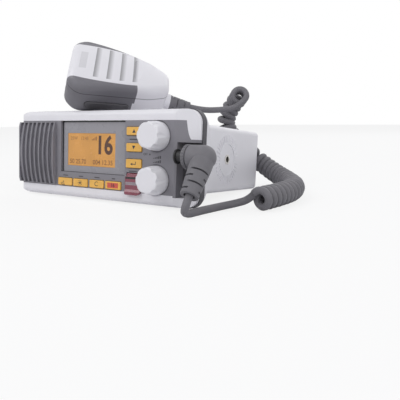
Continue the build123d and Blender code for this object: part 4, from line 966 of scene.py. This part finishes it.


# ------------------------------------------------------------------ prints and painted shade
@dataclass(frozen=True)
class Stairs:
    """A row of upright bars that grow to the right, in millimetres."""

    count: int
    pitch: float
    width: float
    first: float
    growth: float


@dataclass
class Print:
    """Thin prints and painted shade that face the front of the radio, in millimetres of its level frame."""

    stance: Matrix
    front: float = 0.0  # Y of the printed face
    depth: float = 0.2
    ring_step: float = 0.2  # angle between a ring's corners

    def stand(self, shape: Piece, x: float, z: float) -> Piece:
        """Stand a flat shape up, so that it faces the front.

        Args:
            shape: The shape, lying flat about the origin.
            x: Its middle across the radio.
            z: Its middle's height.

        Returns:
            The same object.
        """
        shape.rotation_euler = (UPRIGHT, 0, 0)
        shape.location = (x * MM, (self.front + self.depth) * MM, z * MM)
        return shape

    def text(self, words: str, height: float, x: float, z: float, weight: float = 0.0) -> Piece:
        """Model figures as a thin solid.

        Args:
            words: What they say.
            height: Size of the type.
            x: Their middle across the radio.
            z: Their middle's height.
            weight: How much bolder the strokes are, as a growth of their outline.

        Returns:
            The mesh object.
        """
        deselect_all()
        bpy.ops.object.text_add()
        letters = self.stand(bpy.context.object, x, z)
        letters.data.body = words
        letters.data.size = height * MM
        letters.data.offset = weight * MM
        letters.data.align_x = "CENTER"
        letters.data.align_y = "CENTER"
        letters.data.extrude = self.depth * MM
        letters.data.resolution_u = 4
        bpy.ops.object.convert(target="MESH")
        return bpy.context.object

    def shape(self, sides: int, half: Span, x: float, z: float, turn: float = 0.0) -> Piece:
        """Model a thin shape with equal sides, which is then stretched.

        Args:
            sides: Corners of the shape; many make it round.
            half: Half its width and half its height.
            x: Its middle across the radio.
            z: Its middle's height.
            turn: Turn of the corners in the plane.

        Returns:
            The mesh object.
        """
        deselect_all()
        bpy.ops.mesh.primitive_circle_add(vertices=sides, radius=1.0, fill_type="NGON", rotation=(0, 0, turn))
        bpy.ops.object.transform_apply(rotation=True)
        bpy.context.object.scale = (half[0] * MM, half[1] * MM, 1.0)
        bpy.ops.object.transform_apply(scale=True)
        shape = self.stand(bpy.context.object, x, z)
        bpy.ops.object.mode_set(mode="EDIT")
        bpy.ops.mesh.select_all(action="SELECT")
        back = {"value": (0, 0, self.depth * MM), "orient_type": "LOCAL"}
        bpy.ops.mesh.extrude_region_move(TRANSFORM_OT_translate=back)
        bpy.ops.mesh.select_all(action="SELECT")
        bpy.ops.mesh.normals_make_consistent(inside=False)
        bpy.ops.object.mode_set(mode="OBJECT")
        return shape

    def bar(self, left: float, right: float, low: float, high: float) -> Piece:
        """Model a thin rectangle.

        Args:
            left: Its left edge.
            right: Its right edge.
            low: Its bottom edge.
            high: Its top edge.

        Returns:
            The mesh object.
        """
        half = ((right - left) / math.sqrt(2), (high - low) / math.sqrt(2))
        return self.shape(4, half, (left + right) / 2, (low + high) / 2, math.pi / 4)

    def stairs(self, stairs: Stairs, left: float, foot: float) -> list[Piece]:
        """Model a row of growing bars.

        Args:
            stairs: Their count and sizes.
            left: Left edge of the first.
            foot: Their bottom edge.

        Returns:
            The bars' mesh objects.
        """
        made = []
        for index in range(stairs.count):
            start = left + stairs.pitch * index
            high = foot + stairs.first + stairs.growth * index
            made.append(self.bar(start, start + stairs.width, foot, high))
        return made

    def ring(self, radius: float, wall: float, reach: float, x: float, z: float) -> Piece:
        """Model a thin arc by spinning a small section about its middle.

        Args:
            radius: Middle radius of the arc.
            wall: Width of the line.
            reach: How far the arc reaches up and down from the right, as an angle.
            x: Its middle across the radio.
            z: Its middle's height.

        Returns:
            The mesh object.
        """
        deselect_all()
        bpy.ops.mesh.primitive_plane_add(size=1.0)
        arc = bpy.context.object
        bpy.ops.object.mode_set(mode="EDIT")
        bpy.ops.mesh.select_all(action="SELECT")
        bpy.ops.transform.rotate(value=UPRIGHT, orient_axis="X", center_override=(0, 0, 0))
        bpy.ops.transform.resize(value=(wall * MM, 1.0, self.depth * MM))
        bpy.ops.transform.translate(value=(radius * MM, 0, self.depth * MM / 2))
        steps = max(6, int(2 * reach / self.ring_step))
        bpy.ops.mesh.spin(steps=steps, angle=2 * reach, center=(0, 0, 0), axis=(0, 0, 1))
        bpy.ops.mesh.select_all(action="SELECT")
        bpy.ops.mesh.remove_doubles(threshold=MERGED)
        bpy.ops.mesh.normals_make_consistent(inside=False)
        bpy.ops.object.mode_set(mode="OBJECT")
        arc.data.transform(Matrix.Rotation(-reach, 4, "Z"))
        return self.stand(arc, x, z)

    def settle(self, piece: Piece, name: str, finish: Material, body: str) -> Piece:
        """Bake a print's place into its mesh, finish it and let it ride on a body.

        Args:
            piece: The mesh object, in the radio's frame.
            name: Its name as a piece.
            finish: Its material.
            body: The body that it moves with.

        Returns:
            The same object, which now sits at the origin.
        """
        bpy.context.view_layer.update()
        piece.data.transform(self.stance @ piece.matrix_world)
        piece.matrix_world = Matrix.Identity(4)
        piece.name = name
        piece.data.name = name
        piece.data.update()
        give_finish(piece, finish)
        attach(piece, body)
        log.info("%s: %d faces, rides on %s", name, len(piece.data.polygons), body)
        return piece


@dataclass
class Screen(Print):
    """What the lit display shows: the channel's figures, rows of small figures and a signal's steps."""

    front: float = 2.38
    depth: float = 0.10
    left: float = -35.2
    right: float = 17.5
    top: float = 17.75
    bottom: float = -9.6
    channel_height: float = 20.5
    channel_weight: float = 0.6
    channel_width: float = 0.9  # share of the type's own width
    channel_inset: Span = (12.0, 10.3)  # from the display's right and top
    small_height: float = 4.0
    small_places: Span = (7.0, 19.0)  # from the display's left
    small_inset: float = 4.4
    row_height: float = 5.4
    row_weight: float = 0.08
    row_middle: float = -9.0
    row_inset: float = 3.5
    signal: Stairs = Stairs(4, pitch=1.5, width=0.9, first=1.0, growth=0.75)
    signal_place: Span = (27.2, 5.9)  # from the display's left and top

    def channel(self) -> Piece:
        """Model the channel's two large figures.

        Returns:
            The mesh object.
        """
        figures = self.text("16", self.channel_height, 0, 0, self.channel_weight)
        figures.data.transform(Matrix.Diagonal((self.channel_width, 1.0, 1.0, 1.0)))
        figures.location.x = (self.right - self.channel_inset[0]) * MM
        figures.location.z = (self.top - self.channel_inset[1]) * MM
        return figures

    def small_figures(self) -> Piece:
        """Model the rows of small figures along the top and the bottom, and the signal's steps.

        Returns:
            The mesh object.
        """
        row = "50 25.70     004 12.35"
        foot = self.bottom + self.row_inset
        parts = [self.text(row, self.row_height, self.row_middle, foot, self.row_weight)]
        for words, place in zip(("25W", "12:45"), self.small_places):
            parts.append(self.text(words, self.small_height, self.left + place, self.top - self.small_inset))
        right, down = self.signal_place
        return join(*parts, *self.stairs(self.signal, self.left + right, self.top - down))

    def build(self) -> None:
        """Make the dark figures."""
        large, small = self.channel(), self.small_figures()
        self.settle(large, "display_channel", ink("display_ink", Tone.LIQUID), "radio")
        self.settle(small, "display_small_figures", ink("display_faint_ink", Tone.FAINT_LIQUID), "radio")


class Mark(enum.Enum):
    """Plain signs that the keys carry."""

    WAVES = "waves"
    SUN = "sun"
    LETTER_C = "C"
    FIGURES = "16"
    UP = "up"
    DOWN = "down"
    RETURN = "return"


@dataclass
class KeyMarks(Print):
    """Signs printed on the key caps, which go down with their keys."""

    front: float = -1.04
    low_row: float = -23.6  # height of the low row's signs
    column: float = 38.5  # place of the column's signs
    arrow: float = 1.9
    arrow_shift: float = 0.4  # puts a triangle's middle on its key's
    letter_height: float = 5.4
    figures_height: float = 4.2
    figures_lift: float = 0.12  # over the red field
    field_half: Span = (5.6, 2.1)
    wave_source: float = -1.6
    wave_dot: float = 0.55
    wave_radii: Span = (1.7, 3.0)
    wave_line: float = 0.5
    wave_reach: float = math.pi / 3.4
    sun_radius: float = 0.95
    rays: int = 8
    ray_reach: float = 1.9
    ray_half: Span = (0.62, 0.3)
    return_head: Span = (-1.6, -0.48)
    return_head_half: Span = (1.35, 1.2)
    return_bars: tuple[Edges, ...] = ((-1.2, 2.4, -0.75, -0.2), (1.85, 2.4, -0.2, 1.5))

    def places(self) -> dict[str, tuple[Mark, float, float]]:
        """List the signs.

        Returns:
            Each key's sign, with its middle across the radio and its height.
        """
        return {
            "key_call": (Mark.WAVES, -35.35, self.low_row),
            "key_weather": (Mark.SUN, -17.45, self.low_row),
            "key_clear": (Mark.LETTER_C, 0.55, self.low_row),
            "key_channel_16": (Mark.FIGURES, 18.15, self.low_row),
            "key_up": (Mark.UP, self.column, 19.65),
            "key_down": (Mark.DOWN, self.column, 7.15),
            "key_enter": (Mark.RETURN, self.column, -5.25),
        }

    def waves(self) -> Piece:
        """Model a dot that sends out two waves.

        Returns:
            The mesh object.
        """
        source, dot = self.wave_source, self.wave_dot
        rings = [self.ring(radius, self.wave_line, self.wave_reach, source, 0) for radius in self.wave_radii]
        return join(self.shape(16, (dot, dot), source, 0), *rings)

    def sun(self) -> Piece:
        """Model a disc with rays.

        Returns:
            The mesh object.
        """
        parts = [self.shape(20, (self.sun_radius, self.sun_radius), 0, 0)]
        for angle in (2 * math.pi * ray / self.rays for ray in range(self.rays)):
            away = (self.ray_reach * math.cos(angle), self.ray_reach * math.sin(angle))
            parts.append(self.shape(4, self.ray_half, *away))
            parts[-1].rotation_euler = (UPRIGHT, -angle, 0)
        return join(*parts)

    def return_arrow(self) -> Piece:
        """Return an arrow that comes down and turns left."""
        head = self.shape(3, self.return_head_half, *self.return_head, math.pi / 2)
        return join(head, *(self.bar(*edges) for edges in self.return_bars))

    def figures(self) -> Piece:
        """Model the channel's figures, which lie over the red field.

        Returns:
            The mesh object.
        """
        figures = self.text("16", self.figures_height, 0, 0)
        figures.location.y -= self.figures_lift * MM
        return figures

    def draw(self, mark: Mark, x: float, z: float) -> Piece:
        """Model one sign.

        Args:
            mark: Which sign.
            x: Its middle across the radio.
            z: Its height.

        Returns:
            The mesh object.
        """
        half = (self.arrow, self.arrow)
        sign = {
            Mark.WAVES: self.waves,
            Mark.SUN: self.sun,
            Mark.LETTER_C: lambda: self.text("C", self.letter_height, 0, 0),
            Mark.FIGURES: self.figures,
            Mark.UP: lambda: self.shape(3, half, 0, -self.arrow_shift),
            Mark.DOWN: lambda: self.shape(3, half, 0, self.arrow_shift, math.pi),
            Mark.RETURN: self.return_arrow,
        }[mark]()
        sign.location += Vector((x, 0, z)) * MM
        return sign

    def build(self) -> None:
        """Make every key's sign, and the red field on the last key of the low row."""
        places = self.places()
        black = ink("key_ink", Tone.INK)
        for key, (mark, x, z) in places.items():
            self.settle(self.draw(mark, x, z), f"{key}_sign", black, f"{key}_cap")
        _, x, z = places["key_channel_16"]
        wide, high = self.field_half
        field_bar = self.bar(x - wide, x + wide, z - high, z + high)
        red = ink("key_red", Tone.MARK_RED)
        self.settle(field_bar, "key_channel_16_field", red, "key_channel_16_cap")


@dataclass
class FasciaMarks(Print):
    """Marks printed on the fascia: OFF and its dot, level wedges, and bars in place of small words."""

    front: float = -0.03
    off: Span = (49.2, 2.3)
    off_height: float = 2.5
    off_dot: Span = (53.4, 2.3)
    off_dot_radius: float = 0.65
    wedge: Stairs = Stairs(5, pitch=1.5, width=1.0, first=0.5, growth=0.42)
    wedge_left: float = 56.6
    wedge_feet: Span = (-0.7, -3.9)
    row_words: tuple[Span, ...] = ((-38.2, -32.5), (-19.9, -15.0), (-2.1, 3.2), (16.5, 19.8))
    row_height: Span = (-18.6, -17.9)
    column_width: Span = (33.6, 41.2)
    column_words: tuple[Span, ...] = ((12.9, 13.7), (-11.6, -10.9))

    def build(self) -> None:
        """Make the marks."""
        radius = self.off_dot_radius
        dot = self.shape(16, (radius, radius), *self.off_dot)
        marks = [self.text("OFF", self.off_height, *self.off), dot]
        for foot in self.wedge_feet:
            marks += self.stairs(self.wedge, self.wedge_left, foot)
        marks += [self.bar(*word, *self.row_height) for word in self.row_words]
        marks += [self.bar(*self.column_width, *word) for word in self.column_words]
        self.settle(join(*marks), "fascia_marks", ink("fascia_ink", Tone.INK), "radio")


@dataclass
class DisplayRecessShadow(Print):
    """A painted shadow: a dark line round the display's cover where it sits back in its recess, broader on
    its left and its top.
    """

    front: float = 2.17
    left: float = -41.4
    right: float = 29.1
    low: float = -15.2
    high: float = 28.0
    broad: float = 1.3
    right_width: float = 0.6
    low_width: float = 0.4

    def build(self) -> None:
        """Make the painted shadow."""
        sides = (
            self.bar(self.left, self.left + self.broad, self.low, self.high),
            self.bar(self.right - self.right_width, self.right, self.low, self.high),
            self.bar(self.left, self.right, self.high - self.broad, self.high),
            self.bar(self.left, self.right, self.low, self.low + self.low_width),
        )
        # painted shadow where the recess's walls shade the cover's edges, laid as a thin black sheet
        self.settle(join(*sides), "display_recess_shadow", ink("recess_shadow_paint", Tone.BLACK, 0.35), "radio")


@dataclass
class CoverMarks(Print):
    """Bands on the distress cover, which swing with it: a dark one, painted shade in place of the slot across
    its top, and a printed bare label place.
    """

    front: float = -1.94
    depth: float = 0.1
    width: Span = (31.9, 46.0)
    slot_shade_band: Span = (-17.3, -15.7)
    label_place: Span = (-22.0, -19.6)

    def build(self) -> None:
        """Make the two bands."""
        # the dark band is painted shade standing in for the slot across the cover's top
        dark, label = ink("cover_slot_shade", Tone.BLACK, 0.3), ink("cover_label", Tone.COVER_LABEL, 0.35)
        for name, heights, finish in (
            ("distress_cover_slot_shade", self.slot_shade_band, dark),
            ("distress_cover_label_place", self.label_place, label),
        ):
            band = self.settle(self.bar(*self.width, *heights), name, finish, "distress_lid")


# ------------------------------------------------------------------ studio
@dataclass(frozen=True)
class Lamp:
    """One soft square lamp: where it hangs, its side, its strength in watts and what it points at."""

    name: str
    place: Point
    size: float
    power: float
    aim: Point = (0.0, 0.0, 0.03)

    def hang(self) -> None:
        """Hang the lamp."""
        lamp = bpy.data.objects.new(self.name, bpy.data.lights.new(self.name, "AREA"))
        lamp.data.size = self.size
        lamp.data.energy = self.power
        lamp.location = self.place
        lamp.rotation_euler = (Vector(self.aim) - Vector(self.place)).to_track_quat("-Z", "Y").to_euler()
        bpy.context.scene.collection.objects.link(lamp)


@dataclass
class Studio:
    """Pale floor, soft lamps and the camera."""

    eye: Point = (255.23 * MM, -332.31 * MM, 68.62 * MM)
    azimuth: float = math.radians(30.3)
    elevation: float = math.radians(10.656)
    roll: float = math.radians(-0.623)
    sensor: float = 36.0
    focal_share: float = 443.79 / 400  # focal length over the sensor's width
    clip: Span = (0.01, 20.0)
    floor_size: float = 6.0
    floor_lit: float = 0.82  # how much of the floor the camera sees as plain white
    sky_strength: float = 0.5
    lamps: tuple[Lamp, ...] = (
        Lamp("key_lamp", (-0.5, -0.9, 1.1), 0.9, 7.0),
        Lamp("right_lamp", (1.2, -0.5, 0.9), 0.8, 4.6),
        Lamp("back_lamp", (0.1, 1.2, 1.0), 0.9, 3.4),
    )

    def place_camera(self) -> None:
        """Make the camera and look at the radio's front from low at its right."""
        camera = bpy.data.objects.new("camera", bpy.data.cameras.new("camera"))
        camera.data.lens = self.focal_share * self.sensor
        camera.data.sensor_width = self.sensor
        camera.data.clip_start, camera.data.clip_end = self.clip
        around = Matrix.Translation(self.eye) @ Matrix.Rotation(self.azimuth, 4, "Z")
        raised = around @ Matrix.Rotation(UPRIGHT - self.elevation, 4, "X")
        camera.matrix_world = raised @ Matrix.Rotation(self.roll, 4, "Z")
        bpy.context.scene.collection.objects.link(camera)
        bpy.context.scene.camera = camera

    def lay_floor(self) -> None:
        """Make the pale floor, which the camera sees as white with the object's soft shadow."""
        deselect_all()
        bpy.ops.mesh.primitive_grid_add(x_subdivisions=4, y_subdivisions=4, size=self.floor_size)
        floor = bpy.context.object
        floor.name = "studio_floor"
        recipe = Recipe("studio_floor")
        recipe.take(Base_Color=(*Tone.FLOOR.value, 1.0), Roughness=0.9, Specular_IOR_Level=0.1)
        path = recipe.node("ShaderNodeLightPath").outputs
        white = recipe.node("ShaderNodeEmission")
        seen = recipe.times(path["Is Camera Ray"], self.floor_lit)
        recipe.show("Material Output", seen, recipe.shader.outputs[0], white.outputs[0])
        give_finish(floor, recipe.material)

    def light_world(self) -> None:
        """Light the scene evenly from all round; camera, mirrors and glass see plain white."""
        world = bpy.data.worlds.new("studio_world")
        bpy.context.scene.world = world
        world.use_nodes = True
        nodes = Nodes(world.node_tree)
        sky = world.node_tree.nodes["Background"]
        nodes.feed(sky, {"Color": (*Tone.SKY.value, 1.0), "Strength": self.sky_strength})
        white = nodes.node("ShaderNodeBackground", {"Color": (1.0, 1.0, 1.0, 1.0)})
        path = nodes.node("ShaderNodeLightPath").outputs
        seen = nodes.maths("MAXIMUM", path["Is Camera Ray"], path["Is Glossy Ray"])
        seen = nodes.maths("MAXIMUM", seen, path["Is Transmission Ray"])
        nodes.show("World Output", seen, sky.outputs[0], white.outputs[0])

    def build(self) -> None:
        """Make the whole studio."""
        bpy.context.scene.view_settings.view_transform = "Standard"
        self.place_camera()
        self.lay_floor()
        self.light_world()
        for lamp in self.lamps:
            lamp.hang()
        log.info("studio: camera, floor, world and %d lamps", len(self.lamps))


def main() -> None:
    """Build the studio, dress the solids and add the pieces, in order."""
    logging.basicConfig(level=logging.INFO, format="%(name)s %(message)s", stream=sys.stdout)
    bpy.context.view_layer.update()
    Studio().build()
    stance = Stance()
    leaned = stance.matrix()
    into_microphone = (leaned @ MicrophoneRest().matrix()).inverted()
    made = SolidFinishes(stance.lean, into_microphone).apply(frame["nodes"])
    CoiledCord().build(made["cord_rubber"])
    # the display's recess shadow and the distress cover's dark band are painted shade; the rest are prints
    for prints in (Screen, KeyMarks, FasciaMarks, DisplayRecessShadow, CoverMarks):
        prints(leaned).build()


if __name__ == "__main__":
    main()
